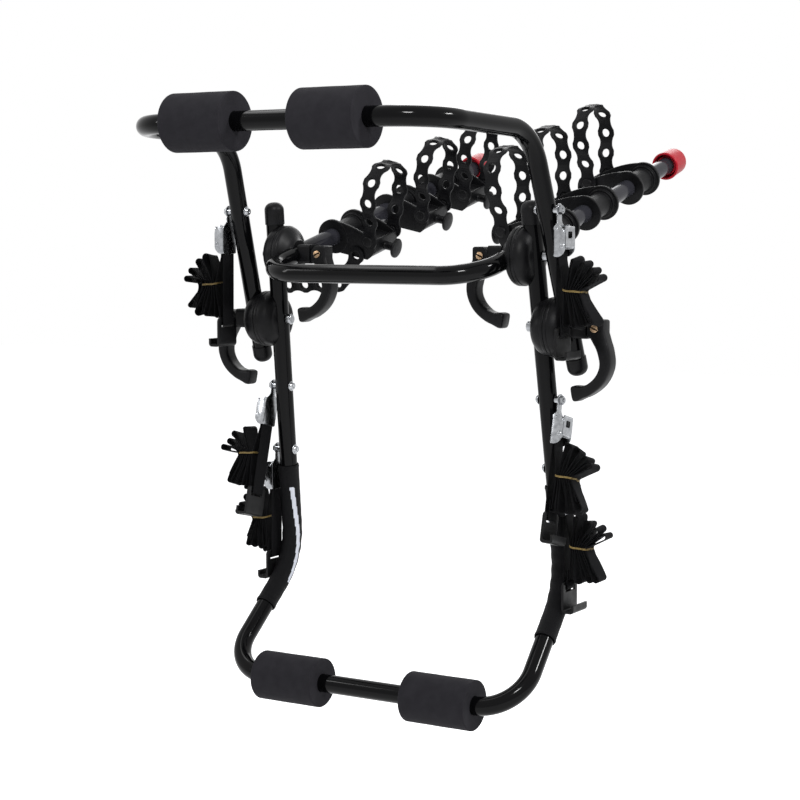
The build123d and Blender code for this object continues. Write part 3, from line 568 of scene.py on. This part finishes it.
def ladderStrap(name, path, across, body, replaces):
    # links of a flat strip laid along a path: each is a ring of quads from its hole to its border
    along = lengthsAlong(path)
    count = round(along[-1] / ladder["pitch"])
    pitch = along[-1] / count
    tangent = unit(np.gradient(path, axis=0))
    across = unit(np.broadcast_to(np.array(across, float), path.shape))
    normal = unit(np.cross(tangent, across))
    share, rise = np.array(ladder["rings"])[:, None], np.array(ladder["rises"])[:, None]
    points, faces, start = [], [], 0
    for side in (1, -1):
        for i in range(count + 1):
            c, s, reach = linkOutline(pitch, i > 0, i < count)
            r = ladder["hole"] + (reach - ladder["hole"])[None] * share
            at, w = i * pitch + r * c, r * s
            rim = ladder["rim"] * rise * np.ones_like(r)
            lift = side * (ladder["thick"] / 2 - 0.5 + rim)
            over = np.clip(at, 0, along[-1])
            lines = (path, tangent, across, normal)
            spot, ahead, wide, out = (sampled(line, along, over) for line in lines)
            grid = spot + ahead * (at - over)[..., None] + wide * w[..., None] + out * lift[..., None]
            rows, cols = at.shape
            points.append(grid.reshape(-1, 3))
            faces += (sheetFaces(rows, cols, True) + start).tolist()
            start += rows * cols
    half = start // 2
    c, s, reach = linkOutline(pitch, True, True)
    atJoin = np.abs(np.abs(reach * c) - pitch / 2) < 1e-3
    for i in range(count + 1):  # walls of the holes and of the border
        base = i * rows * cols
        for row in (0, rows - 1):
            a = base + row * cols + np.arange(cols)
            b = base + row * cols + (np.arange(cols) + 1) % cols
            quads = np.stack([a, b, b + half, a + half], 1)
            if row:
                keep = ~(atJoin & np.roll(atJoin, -1) & ((c > 0) & (i < count) | (c < 0) & (i > 0)))
                quads = quads[keep]
            faces += quads.tolist()
    mesh = bpy.data.meshes.new(name)
    mesh.from_pydata((np.concatenate(points) * mm).tolist(), [], faces)
    finishPiece(name, mesh, body, "strap_rubber", replaces, angle=50, merge=0.02)


cradle = {
    "length": 65.0, "line": 62.0, "gap": 0.35, "droop": 14.0, "pegZ": 9.0,
    "right": (227.0, 359.0, 510.0), "left": (226.0, 381.0, 515.0),  # how far along the arm each one sits
}
loop = {"kneeZ": 34.0, "hipZ": 62.0, "bulge": 45.0, "crownZ": 118.0, "bend": 42.0, "arch": 40.0, "lean": 1.5}
sway = {"x": (43.0, 27.0, -70.0), "z": (-17.0, -66.0, -93.0), "bend": 34.0}
order = ("first", "second", "third")


def cradleFrame(sign, spot):
    # origin on the arm's axis; x reaches inward, y runs along the arm, z stands up
    droop = math.radians(cradle["droop"]) if sign < 0 else 0
    inward = point(-sign, 0, 0)
    origin = point(sign * rack["armHalf"], armCorner[1], armCorner[2]) + armWay * spot
    x = inward * math.cos(droop) - armUp * math.sin(droop)
    z = armUp * math.cos(droop) + inward * math.sin(droop)
    return origin, np.stack([x, armWay, z])


seat = cradle["length"] / 2 + cradle["gap"] + ladder["thick"] / 2
halfLoop = [(seat, cradle["pegZ"]), (seat, loop["kneeZ"])]
halfLoop += [(loop["bulge"], loop["hipZ"]), (loop["bulge"], loop["crownZ"])]
loopPoints = [point(cradle["line"], y, z) for y, z in halfLoop]
loopPoints += [p * (1, -1, 1) for p in reversed(loopPoints)]
bends = [loop["bend"], loop["bend"], loop["arch"]]
loopRoute = roundedRoute(loopPoints, bends + bends[::-1], 1.0)

cradles = [
    (f"{side}_{place}", spot, *cradleFrame(sign, spot))
    for side, sign in sides.items()
    for place, spot in zip(order, cradle[side])
]
for where, spot, origin, axes in cradles:
    lean = loop["lean"] * math.sin(spot)  # each loop leans a little its own way
    local = loopRoute + np.clip((loopRoute[:, 2:] - 20) / 100, 0, 1) * (lean, 0, 0)
    body, node = "cradle_" + where, "cradle_strap_" + where
    ladderStrap("loopStrap_" + where, origin + local @ axes, axes[0], body, [node])
origin, axes = cradleFrame(-1, cradle["left"][0])
swayRoute = roundedRoute([point(x, -seat, z) for x, z in zip(sway["x"], sway["z"])], [sway["bend"]], 1.0)
swayAcross = np.cross(unit(np.gradient(swayRoute, axis=0)), (0, 1, 0))
ladderStrap("looseStrap", origin + swayRoute @ axes, swayAcross @ axes, "cradle_left_first", ["sway_strap"])
print("ladder straps made")


# Cradles on the arms

cradleShape = {
    "bore": 12.78, "collar": 17.0, "flange": 25.5, "flangeWide": 5.0, "step": 21.0, "stepWide": 4.5,
    "reach": 72.0, "floor": 5.0, "keel": 21.0, "sill": 6.0,
    "knobZ": -4.0, "stem": 6.0, "stemEnd": 87.0, "knob": 14.5, "knobWide": 5.0,
    "peg": 5.4, "pegHead": 8.0, "pegWide": 3.0,
}


def leafOutline():
    # a wall: most of a circle round the arm, then a fin whose top sinks along a curve to a round nose
    far, keel = cradleShape["reach"], cradleShape["keel"]
    disc = arc(cradleShape["flange"] - 0.3, 80, 300, 34)
    nose = softened([(far - 12, -keel), (far - 3, 9 - keel), (far, 0), (far - 3, 9)], 9, 8)
    t = np.linspace(0, 1, 22)[1:-1]
    top = np.stack([far - 3 - t * (far - 8), 9 + 15.5 * np.sin(t * math.pi / 2) ** 0.8], 1)
    return np.concatenate([disc, nose, top])


def cradleGrids():
    # a collar with two stepped rims, two leaf walls, a floor with a sill, a knob and two pegs
    c, half = cradleShape, cradle["length"] / 2
    far, inner, end, ledge = c["reach"], half - c["flangeWide"], c["stemEnd"], c["floor"] + c["sill"]
    shelf = inner - c["stepWide"]
    rim = [
        (half, c["bore"]), (half, c["flange"]), (inner, c["flange"]), (inner, c["step"]), (shelf, c["step"]),
        (shelf, c["collar"]),
    ]
    collar = turned(softened([(-u, r) for u, r in rim] + rim[::-1], 1.1), (0, 0, 0), (0, 1, 0), 96)
    leaf = slab(leafOutline(), c["flangeWide"] - 0.5, 1.0)
    walls = [leaf + (0, way * (half - c["flangeWide"] / 2), 0) for way in (-1, 1)]
    base = closedOutline([
        (8, c["floor"]), (far - 7, c["floor"]), (far - 5, ledge), (far - 1, ledge), (far - 0.5, -8),
        (far - 13, 0.5 - c["keel"]), (c["collar"], 0.5 - c["keel"]), (8, 0.3 - c["collar"]),
    ], 2.5)
    floor = slab(base, 2 * half - c["flangeWide"] - 1, 0.5)
    knobLine = [
        (far - 3, pole), (far - 3, c["stem"] + 1.5), (far + 2, c["stem"]), (end - 2, c["stem"]),
        (end, c["knob"]), (end + c["knobWide"] - 1, c["knob"]), (end + c["knobWide"], 5),
        (end + c["knobWide"], pole),
    ]
    knob = turned(softened(knobLine, 1.8), (0, 0, c["knobZ"]), (1, 0, 0), 48)
    out = ladder["thick"] + 2 * cradle["gap"]
    tip = out + c["pegWide"]
    pegLine = [(-1, pole), (-1, c["peg"]), (out, c["peg"])]
    pegLine += [(out, c["pegHead"]), (tip, c["pegHead"] - 1), (tip, pole)]
    pegs = [
        turned(softened(pegLine, 1.0), (cradle["line"], way * half, cradle["pegZ"]), (0, way, 0), 36)
        for way in (-1, 1)
    ]
    return [collar], walls + [floor], [knob] + pegs


cradleParts = cradleGrids()
for where, spot, origin, axes in cradles:
    body = "cradle_" + where
    collar, trough, small = ([origin + g @ axes for g in grids] for grids in cradleParts)
    makePiece("collar_" + where, collar, body, "cradle_plastic", [body], ends=False)
    makePiece("trough_" + where, trough, body, "cradle_plastic", angle=30)
    makePiece("knob_" + where, small, body, "cradle_plastic")
print("cradles made")


# Hub halves

hub = {
    "radius": 40.0, "rim": 39.1, "crown": 26.0, "neck": 19.5, "overTube": 4.0, "face": 0.25,
    "spread": 1.25,  # how much of its dome a half shows, in radians
}


def hubGrid(tube, parting, waisted):
    # a half turned about X: a rim with a groove, then a full dome, or a flare that draws in towards its tube
    toward = math.copysign(1, tube[0] - parting)
    depth = abs(tube[0] - parting) + hub["overTube"]
    r, rim, spread = hub["radius"], hub["rim"], hub["spread"]
    rows = [(hub["face"], 4.2), (hub["face"], r), (4.4, r), (4.8, rim), (6.0, rim)]
    t = np.linspace(0, 1, 14)[1:]
    if waisted:
        drop = (rim - hub["neck"]) * (1 - np.cos(math.pi * t**0.8)) / 2
        curve = np.stack([6 + (depth - 6) * t, rim - drop], 1)
    else:
        share = (np.cos(t * spread) - math.cos(spread)) / (1 - math.cos(spread))
        along = 6 + (depth - 6) * np.sin(t * spread) / math.sin(spread)
        curve = np.stack([along, hub["crown"] + (rim - hub["crown"]) * share], 1)
    end = [(depth + 0.02, curve[-1][1] - 1.5), (depth + 0.02, pole)]
    rows = np.concatenate([softened(rows, 0.8), curve, end])
    return turned(rows, (parting, tube[1], tube[2]), (toward, 0, 0), 96)


lowerParting = (lowerHub[0] + upperLegHub[0]) / 2
upperParting = (upperHub[0] + armHub[0]) / 2
for name, tube, parting, body, waisted in (
    ("lower_hub_inner_halves", lowerHub, lowerParting, "lower_frame", False),
    ("lower_hub_outer_halves", upperLegHub, lowerParting, "upper_frame", False),
    ("upper_hub_outer_halves", upperHub, upperParting, "lower_frame", False),
    ("upper_hub_inner_halves", armHub, upperParting, "arms", True),
):
    grid = hubGrid(tube, parting, waisted)
    makePiece("dome_" + name, bothWays([grid]), body, "hub_plastic", [name], ends=False, angle=35)
print("hubs made")


# Quick-release levers

lever = {
    "width": 24.0, "head": 12.0, "corner": 4.0,
    "square": 0.42,  # 1 gives the handle an oval section, 0 a box
    "line": [(1.5, -6.0), (11.0, -27.0), (15.5, -48.0), (7.0, -68.0), (-11.0, -82.5), (-34.0, -87.0)],
    "bends": [60, 32, 42, 42],
    "thick": [(0.0, 23.0), (0.15, 18.5), (0.45, 15.5), (0.75, 15.0), (0.86, 16.5), (0.94, 21.5), (1.0, 21.0)],
}


def leverGrids():
    # a head with one corner round, and a handle: rounded boxes of changing depth along a smooth line
    h = lever["head"]
    cam = arc(h, 90, 180, 14)
    others = closedOutline([(h, h), (-h, h), (-h, -h), (h, -h)], lever["corner"])
    keepers = others[~((others[:, 0] < 0.1) & (others[:, 1] > -0.1))]
    turn = np.argsort(np.arctan2(*np.concatenate([keepers, cam]).T[::-1]))
    head = slab(np.concatenate([keepers, cam])[turn], lever["width"] - 1.0, 2.0)
    route = roundedRoute([point(x, 0, z) for x, z in lever["line"]], lever["bends"], 1.2)
    u = lengthsAlong(route) / lengthsAlong(route)[-1]
    thick = np.interp(u, *np.array(lever["thick"]).T)
    c, s = circle(1, 48).T
    wide = np.sign(c) * np.abs(c) ** lever["square"] * lever["width"] / 2
    deep = np.sign(s) * np.abs(s) ** lever["square"] / 2
    tangent = unit(np.gradient(route, axis=0))
    normal = np.cross(tangent, (0, 1, 0))
    end = np.clip((1 - u) * 90 / 3, 0, 1)  # the last 3 mm round off
    shrink = 0.78 + 0.22 * np.sqrt(1 - (1 - end) ** 2)
    handle = route[:, None] + (wide[None] * shrink[:, None])[..., None] * point(0, 1, 0)
    handle = handle + (deep[None] * (thick * shrink)[:, None])[..., None] * normal[:, None]
    return [head, handle]


pinOut = rack["tubeRadius"] + rack["pinFromTube"]
pins = {
    "lower": (upperLegHub + (pinOut, 0, 0), 1, "upper_frame"),
    "upper": (armHub - (pinOut, 0, 0), -1, "arms"),
}
for height, (pin, out, carrier) in pins.items():
    grids = [grid * (out, 1, 1) + pin for grid in leverGrids()]
    for side, sign in sides.items():
        body, mirrored = f"{height}_lever_{side}", [g * (sign, 1, 1) for g in grids]
        makePiece(f"handle_{height}_{side}", mirrored, body, "lever_plastic", [body], angle=50)
print("levers made")


# Webbing, bundled into a hank on each strap set

web = {
    "width": 25.0, "thick": 1.4, "stand": 17.5, "plate": 1.5, "gap": 0.5,
    "bar": 1.0, "barGap": 0.1, "barDrop": 24.0, "exit": 64.0,
    "waistDrop": 103.0, "waistStep": 2.7, "waistBend": 11.0,
    "fingers": 4, "fingerLong": 38.0, "fingerRound": 4.3, "foldLong": 45.5, "foldRound": 4.4,
    "uneven": (-3, 0.5), "drift": 6.0, "twist": 0.2, "knotStep": 45.0,  # how far runs stray, and how often
    "tailLong": 34.0, "tailAngle": 22.0, "tailBend": 4.0,
    "hookOut": 24.0, "hookDrop": 151.0, "hookBar": 6.0, "sewnRound": 2.9, "sewnLong": 24.0,
}
# each strap set's bolt, and its swing towards the car in degrees
bolts = {
    "upper": (onLine(upperCorner, upperLegHub, 650.0), 0.0),
    "middle": (onLine(legTop, legBend, 398.0), -14.0),
    "low": (onLine(legTop, legBend, 304.0), 0.0),
}


def halfTurn(centre, way, radius, side):
    # the two corners of a strap's turn about a centre: radius ahead of it, and radius to either side
    normal = point(way[2], 0, -way[0]) * side
    return [centre - normal * radius + way * radius, centre + normal * radius + way * radius]


def fanWay(angles, i):
    # (sin, cos) of the i-th angle from the first to the last of a fan
    angle = math.radians(angles[0] + (angles[1] - angles[0]) * i / (web["fingers"] - 1))
    return point(math.sin(angle), 0, math.cos(angle))


def webbingRoute(hank):
    # sewn end, hook slot, up to the buckle's bar, down again, then fingers and folds through the waist
    random = np.random.default_rng(hank["seed"])
    up = web["stand"] + web["plate"] + web["gap"] + web["thick"] / 2
    barTurn = web["bar"] + web["barGap"] + web["thick"] / 2
    runs = 2 * web["fingers"] + 1
    waist = point(hank["out"], 0, -web["waistDrop"])
    slotZ = -web["hookDrop"] - web["hookBar"] - web["sewnRound"] + web["thick"]
    route = [point(web["hookOut"] + web["sewnRound"], 0, slotZ + web["sewnLong"])]
    route += halfTurn(point(web["hookOut"], 0, slotZ), point(0, 0, -1), web["sewnRound"], 1)
    route += [point(up, 0, -web["exit"])]
    route += halfTurn(point(up + barTurn, 0, -web["barDrop"]), point(0, 0, 1), barTurn, 1)
    route += [point(up + 2 * barTurn, 0, -web["exit"])]

    def atWaist(run):
        return waist + point((run - (runs - 1) / 2) * web["waistStep"], 0, 0)

    def bendsOf(*turns):
        # each half turn has two tight corners, and the run after it one wide bend at the waist
        return [bend for turn in turns for bend in (turn * 0.9, turn * 0.9, web["waistBend"])]

    radii = bendsOf(web["sewnRound"], barTurn)
    for i in range(web["fingers"]):
        foldWay = fanWay(hank["foldFan"], i) * (1, 1, -1)
        fingerWay = fanWay(hank["fingerFan"], i)
        fold = web["foldLong"] + random.uniform(*web["uneven"])
        finger = web["fingerLong"] * (1.06 - 0.07 * i) + random.uniform(*web["uneven"])
        down, back, last = (atWaist(2 * i + k) for k in range(3))
        route += [down, *halfTurn((down + back) / 2 + foldWay * fold, foldWay, web["foldRound"], -1)]
        route += [back, *halfTurn((back + last) / 2 + fingerWay * finger, fingerWay, web["fingerRound"], 1)]
        radii += [web["waistBend"], *bendsOf(web["foldRound"], web["fingerRound"])[:-1]]
    tail = math.radians(web["tailAngle"])
    last = atWaist(runs - 1)
    route += [last, last + point(math.sin(tail), 0, -math.cos(tail)) * web["tailLong"]]
    return roundedRoute(route, radii + [web["tailBend"]], 0.9)


def placedAt(grid, height, sign):
    # turned about X by the set's swing, hung on its bolt, and mirrored for the left side
    spot, swing = bolts[height]
    a = math.radians(swing)
    turn = np.array([[1, 0, 0], [0, math.cos(a), -math.sin(a)], [0, math.sin(a), math.cos(a)]])
    return (grid @ turn.T + spot) * (sign, 1, 1)


def hankGrid(hank):
    # the strap's section carried along the route; away from the waist its runs drift sideways and twist
    route = webbingRoute(hank)
    u = lengthsAlong(route)
    random = np.random.default_rng(hank["seed"] + 50)
    away = route - (hank["out"], 0, -web["waistDrop"])
    inHank = np.clip((route[:, 0] - 30) / 6, 0, 1) * np.clip(np.abs(away[:, 2]) / 30 - 0.25, 0, 1)
    knots = np.arange(0, u[-1] + web["knotStep"], web["knotStep"])
    drift = np.interp(u, knots, random.uniform(-1, 1, len(knots)))
    twist = np.interp(u, knots, random.uniform(-1, 1, len(knots)))
    smooth = np.ones(31) / 31
    drift, twist = np.convolve(drift, smooth, "same"), np.convolve(twist, smooth, "same")
    route = route + (drift * inHank * web["drift"])[:, None] * point(0, 1, 0)
    lean = twist * inHank * web["twist"]
    tangent = unit(np.gradient(route, axis=0))
    flat = unit(np.cross(tangent, (0, 1, 0)))
    sideways = unit(np.cos(lean)[:, None] * point(0, 1, 0) + np.sin(lean)[:, None] * flat)
    return carried(route, flatBand(web["width"], web["thick"]), -unit(np.cross(tangent, sideways)))


band = {"thick": 0.42, "slope": -4.0, "halfX": 14.0, "halfY": 13.9}


def bandGrid(hank):
    # two turns of a thin ring pulled round the waist: a rounded rectangle, tilted a little
    a = np.linspace(0, 4 * math.pi, 161)
    x = np.sign(np.cos(a)) * np.abs(np.cos(a)) ** 0.45 * band["halfX"]
    y = np.sign(np.sin(a)) * np.abs(np.sin(a)) ** 0.4 * band["halfY"]
    z = band["slope"] * np.cos(a + 0.5) * 0.5 + np.linspace(-1.3, 1.3, len(a))
    route = evenly(np.stack([hank["out"] + x, y, -web["waistDrop"] + z], 1), 0.9)
    return carried(route, circle(band["thick"], 10), (0, 0, 1))


# the seed, how far the waist stands out, and the angles of the first and last fold and finger, in degrees
hanks = {
    "upper_right": (3, 42.0, (2.0, 27.0), (9.0, 57.0)),
    "upper_left": (103, 46.0, (-6.0, 44.0), (14.0, 78.0)),
    "middle_right": (8, 42.0, (2.0, 27.0), (9.0, 57.0)),
    "middle_left": (108, 43.0, (0.0, 22.0), (26.0, 80.0)),
    "low_right": (15, 42.0, (2.0, 27.0), (9.0, 57.0)),
    "low_left": (115, 43.0, (0.0, 22.0), (26.0, 80.0)),
}
for height in bolts:
    for side, sign in sides.items():
        hank = dict(zip(("seed", "out", "foldFan", "fingerFan"), hanks[f"{height}_{side}"]))
        body, where = f"{height}_strap_{side}", f"{height}_{side}"
        bundle, ring = (placedAt(grid, height, sign) for grid in (hankGrid(hank), bandGrid(hank)))
        makePiece("webbing_" + where, [bundle], body, "webbing", [f"{height}_webbing_{side}"], angle=60)
        makePiece("tanBand_" + where, [ring], body, "webbing", coat="elastic", angle=80)
print("webbing made")


# Zinc buckles, their cam levers and the bolts they hang from

buckle = {
    "ring": 8.5, "neck": 12.0, "top": 18.0, "bottom": 60.0, "width": 30.0, "plate": 1.5, "deep": 16.0,
    "barX": 22.0, "barrelX": 29.4, "barrelDrop": 46.0, "barrel": 4.5, "leverTop": 21.5, "leverHalf": 13.1,
    "windowWide": 12.0, "windowTop": 27.5, "windowLow": 36.5,
}


def buckleGrids():
    # a plate with an eye round the bolt, two cheeks with soft corners, rivet heads and a thin cross bar
    b = buckle
    neck, wide, low = b["neck"] / 2, b["width"] / 2, -b["bottom"]
    eye = arc(b["ring"], -50, 230, 26)
    shoulder = [(-neck, -9), (-neck, -15), (-wide, -22), (-wide, low)]
    shoulders = softened(shoulder + [(-x, z) for x, z in shoulder[::-1]], 3, 6)
    back = slab(np.concatenate([eye, shoulders]), b["plate"], 0.4)[..., [1, 0, 2]]
    near, far = web["stand"], web["stand"] + b["deep"]
    side = closedOutline([
        (near, -b["top"] - 2), (far - 9, -b["top"]), (far, -b["top"] - 9), (far, low + 7), (far - 7, low),
        (near, low),
    ], 4)
    grids = [back + (near + b["plate"] / 2, 0, 0)]
    for way in (-1, 1):
        grids.append(slab(side, b["plate"], 0.4) + (0, way * (b["width"] - b["plate"]) / 2, 0))
        for at, drop, r in ((b["barrelX"], b["barrelDrop"], 3.2), (b["barX"], web["barDrop"], 1.9)):
            rivet = softened([(-0.5, pole), (-0.5, r), (0.5, r), (1.1, r * 0.6), (1.1, pole)], 0.4)
            grids.append(turned(rivet, (at, way * wide, -drop), (0, way, 0), 24))
    rod = [(-wide, pole), (-wide, web["bar"]), (wide, web["bar"]), (wide, pole)]
    return grids + [turned(rod, (b["barX"], 0, -web["barDrop"]), (0, 1, 0), 16)]


def camGrids():
    # a ribbed barrel, and a lever plate with a window and a thumb lip that curls out
    b, half, wide = buckle, buckle["leverHalf"], buckle["windowWide"] / 2
    y = np.linspace(-half, half, 60)
    ribs = b["barrel"] - 0.3 * (np.sin(y * 2.4) > 0.3)
    barrelLine = np.concatenate([[(-half, pole)], np.stack([y, ribs], 1), [(half, pole)]])
    barrel = turned(barrelLine, (b["barrelX"], 0, -b["barrelDrop"]), (0, 1, 0), 32)
    face, top = b["barrelX"] + b["barrel"], -b["leverTop"]
    boxes = ((half, -b["barrelDrop"], top, 3), (wide, -b["windowLow"], -b["windowTop"], 2))
    outer, inner = (
        closedOutline([(-x, low), (x, low), (x, high), (-x, high)], soft, 7) for x, low, high, soft in boxes
    )
    rows = [(outer, face - 1.5), (outer, face), (inner, face), (inner, face - 1.5), (outer, face - 1.5)]
    tab = np.stack([np.insert(line, 0, x, axis=1) for line, x in rows])
    lipLine = [(1 - half, pole), (1 - half, 1.2), (half - 1, 1.2), (half - 1, pole)]
    lip = turned(lipLine, (face - 0.6, 0, top - 0.8), (0, 1, 0), 20)
    return [barrel, lip], [tab]


def boltGrids():
    # a pan head with a dished middle, a washer, a spacer, a hexagon nut and the thread's end
    r, stand = rack["tubeRadius"], web["stand"] - 0.2
    head = [(-3.2, pole), (-3.6, 1.4), (-4.5, 2.4), (-4.1, 4.6), (-1.8, 6.1), (-0.9, 6.2)]
    head += [(-0.9, 7.3), (0.4, 7.3), (0.6, 3), (0.6, pole)]
    spacer = [(r - 1.5, pole), (r - 1.5, 5.5), (stand, 5.5), (stand, 3.0)]
    spacer += [(23.4, 3.0), (25.0, 2.6), (25.0, pole)]
    nut = [(19.2, 3), (19.2, 6.0), (22.9, 6.0), (23.7, 5.2), (23.7, 3)]
    lines = ((softened([(u - r, wide) for u, wide in head], 0.5), 40), (spacer, 32), (nut, 6))
    return [turned(line, (0, 0, 0), (1, 0, 0), count) for line, count in lines]


plates = buckleGrids()
cams, tabs = camGrids()
for height, (spot, swing) in bolts.items():
    for side, sign in sides.items():
        name, cam = f"{height}_buckle_{side}", f"{height}_buckle_cam_{side}"
        plate, barrel, tab = ([placedAt(g, height, sign) for g in grids] for grids in (plates, cams, tabs))
        makePiece("plate_" + name, plate, f"{height}_strap_{side}", "zinc", [name])
        makePiece("barrel_" + cam, barrel, cam, "zinc", [cam])
        makePiece("tab_" + cam, tab, cam, "zinc", ends=False, angle=30)
for level, heights in (("upper", ["upper"]), ("lower", ["middle", "low"])):
    grids = [g + bolts[height][0] for height in heights for g in boltGrids()]
    makePiece(level + "Bolts", bothWays(grids), level + "_frame", "zinc", [level + "_strap_bolts"], angle=30)
print("buckles made")


# Slotted ends of the levers' cross pins

pinEnd = {"radius": 5.2, "height": 1.6, "slot": 1.8, "deep": 1.0}


def slottedHead(centre, way, turnBy):
    # a domed disc with a driver slot: a square grid mapped to a disc, sunk along the slot
    t = np.linspace(-1, 1, 37)
    x, y = np.meshgrid(t, t, indexing="ij")
    dx, dy = x * np.sqrt(1 - y**2 / 2), y * np.sqrt(1 - x**2 / 2)
    r = np.sqrt(dx**2 + dy**2)
    high = pinEnd["height"] * (1 - 0.25 * r**2) * (r < 0.995)
    inSlot = (np.abs(dy) * pinEnd["radius"] < pinEnd["slot"] / 2) & (r < 0.99)
    high = np.where(inSlot, pinEnd["height"] - pinEnd["deep"] - 0.3, high)
    way = np.array(way, float)
    side = unit(np.cross(way, (math.sin(turnBy), 0, math.cos(turnBy))))
    other = np.cross(way, side)
    return centre + (side * dx[..., None] + other * dy[..., None]) * pinEnd["radius"] + way * high[..., None]


for height, (pin, out, carrier) in pins.items():
    grids = bothWays([
        slottedHead(pin + (0, way * (lever["width"] / 2 + 0.3), 0), (0, way, 0), turnBy)
        for way, turnBy in ((-1, 0.4), (1, 1.9))
    ])
    makePiece(height + "PinEnds", grids, carrier, "skewer_steel", coat="brass", wrap=False, angle=30)
print("pin ends made")


# Camera at the photograph's angle, soft lamps and a pale floor

# turned and tipped in degrees, placed in metres; focal and photo are in pixels
view = {
    "azimuth": 31.35, "pitch": -5.24, "place": (1.3523, -2.1301, 0.6278), "focal": 1883.4, "photo": 800,
    "sensor": 36.0,
}
cameraData = bpy.data.cameras.new("photoCamera")
cameraData.sensor_width = view["sensor"]
cameraData.lens = view["focal"] * view["sensor"] / view["photo"]
cameraData.clip_end = 50
camera = bpy.data.objects.new("photoCamera", cameraData)
camera.location = view["place"]
camera.rotation_euler = (math.radians(90 + view["pitch"]), 0, math.radians(view["azimuth"]))
bpy.context.scene.collection.objects.link(camera)
bpy.context.scene.camera = camera
bpy.context.scene.view_settings.view_transform = "Standard"


def softLamp(name, place, target, size, power):
    data = bpy.data.lights.new(name, "AREA")
    data.shape, data.size, data.size_y, data.energy = "RECTANGLE", size[0], size[1], power
    lamp = bpy.data.objects.new(name, data)
    lamp.location = place
    way = np.array(target) - np.array(place)
    lamp.rotation_euler = (math.acos(-way[2] / np.linalg.norm(way)), 0, math.atan2(-way[0], way[1]))
    bpy.context.scene.collection.objects.link(lamp)


softLamp("leftBox", (-2.2, -2.0, 1.9), (0, 0.1, 0.4), (0.3, 1.5), 20)
softLamp("rightBox", (2.4, 0.45, 2.05), (0.2, -0.1, 0.6), (0.5, 0.32), 44)
softLamp("keyBox", (1.2, -1.95, 2.2), (0.1, 0.0, 0.5), (0.55, 0.32), 50)
softLamp("windowBox", (-1.15, 0.0, 2.5), (0, 0.1, 0.4), (1.5, 0.3), 6)
softLamp("backBox", (-0.8, 2.6, 1.8), (0, 0.2, 0.5), (1.4, 1.2), 16)


def seesBackground(tree):
    # 1 for camera, glossy and transmission rays
    rays = addNode(tree, "LightPath").outputs
    either = addNode(tree, "Math", {0: rays["Is Camera Ray"], 1: rays["Is Glossy Ray"]}, operation="MAXIMUM")
    return addNode(tree, "Math", {0: either, 1: rays["Is Transmission Ray"]}, operation="MAXIMUM")


world = bpy.data.worlds.new("paleRoom")
bpy.context.scene.world = world
world.use_nodes = True
tree = world.node_tree
tree.nodes.clear()
dim = addNode(tree, "Background", Color=(0.9, 0.92, 0.95, 1), Strength=0.4)
bright = addNode(tree, "Background", Color=(1, 1, 1, 1), Strength=1.0)
choose = addNode(tree, "MixShader", {0: seesBackground(tree), 1: dim, 2: bright})
addNode(tree, "OutputWorld", {"Surface": choose})

ground = {"z": -0.3, "half": 9.0, "glow": 0.72}
floorMesh = bpy.data.meshes.new("floor")
far, z = ground["half"], ground["z"]
floorMesh.from_pydata([(-far, -far, z), (far, -far, z), (far, far, z), (-far, far, z)], [], [(0, 1, 2, 3)])
floor = bpy.data.objects.new("floor", floorMesh)
bpy.context.scene.collection.objects.link(floor)
floorPaint = makeMaterial("palePaper", "#f4f4f4", 0.9)  # a plain matte paper sweep, almost white
tree = floorPaint.node_tree
glow = addNode(tree, "Emission", Color=(1, 1, 1, 1), Strength=ground["glow"])
none = addNode(tree, "Emission", Color=(0, 0, 0, 1), Strength=0.0)
seen = addNode(tree, "MixShader", {0: seesBackground(tree), 1: none, 2: glow})
both = addNode(tree, "AddShader", {0: tree.nodes["Principled BSDF"], 1: seen})
tree.links.new(both.outputs[0], tree.nodes["Material Output"].inputs["Surface"])
floorMesh.materials.append(floorPaint)
print("camera, light and floor set")
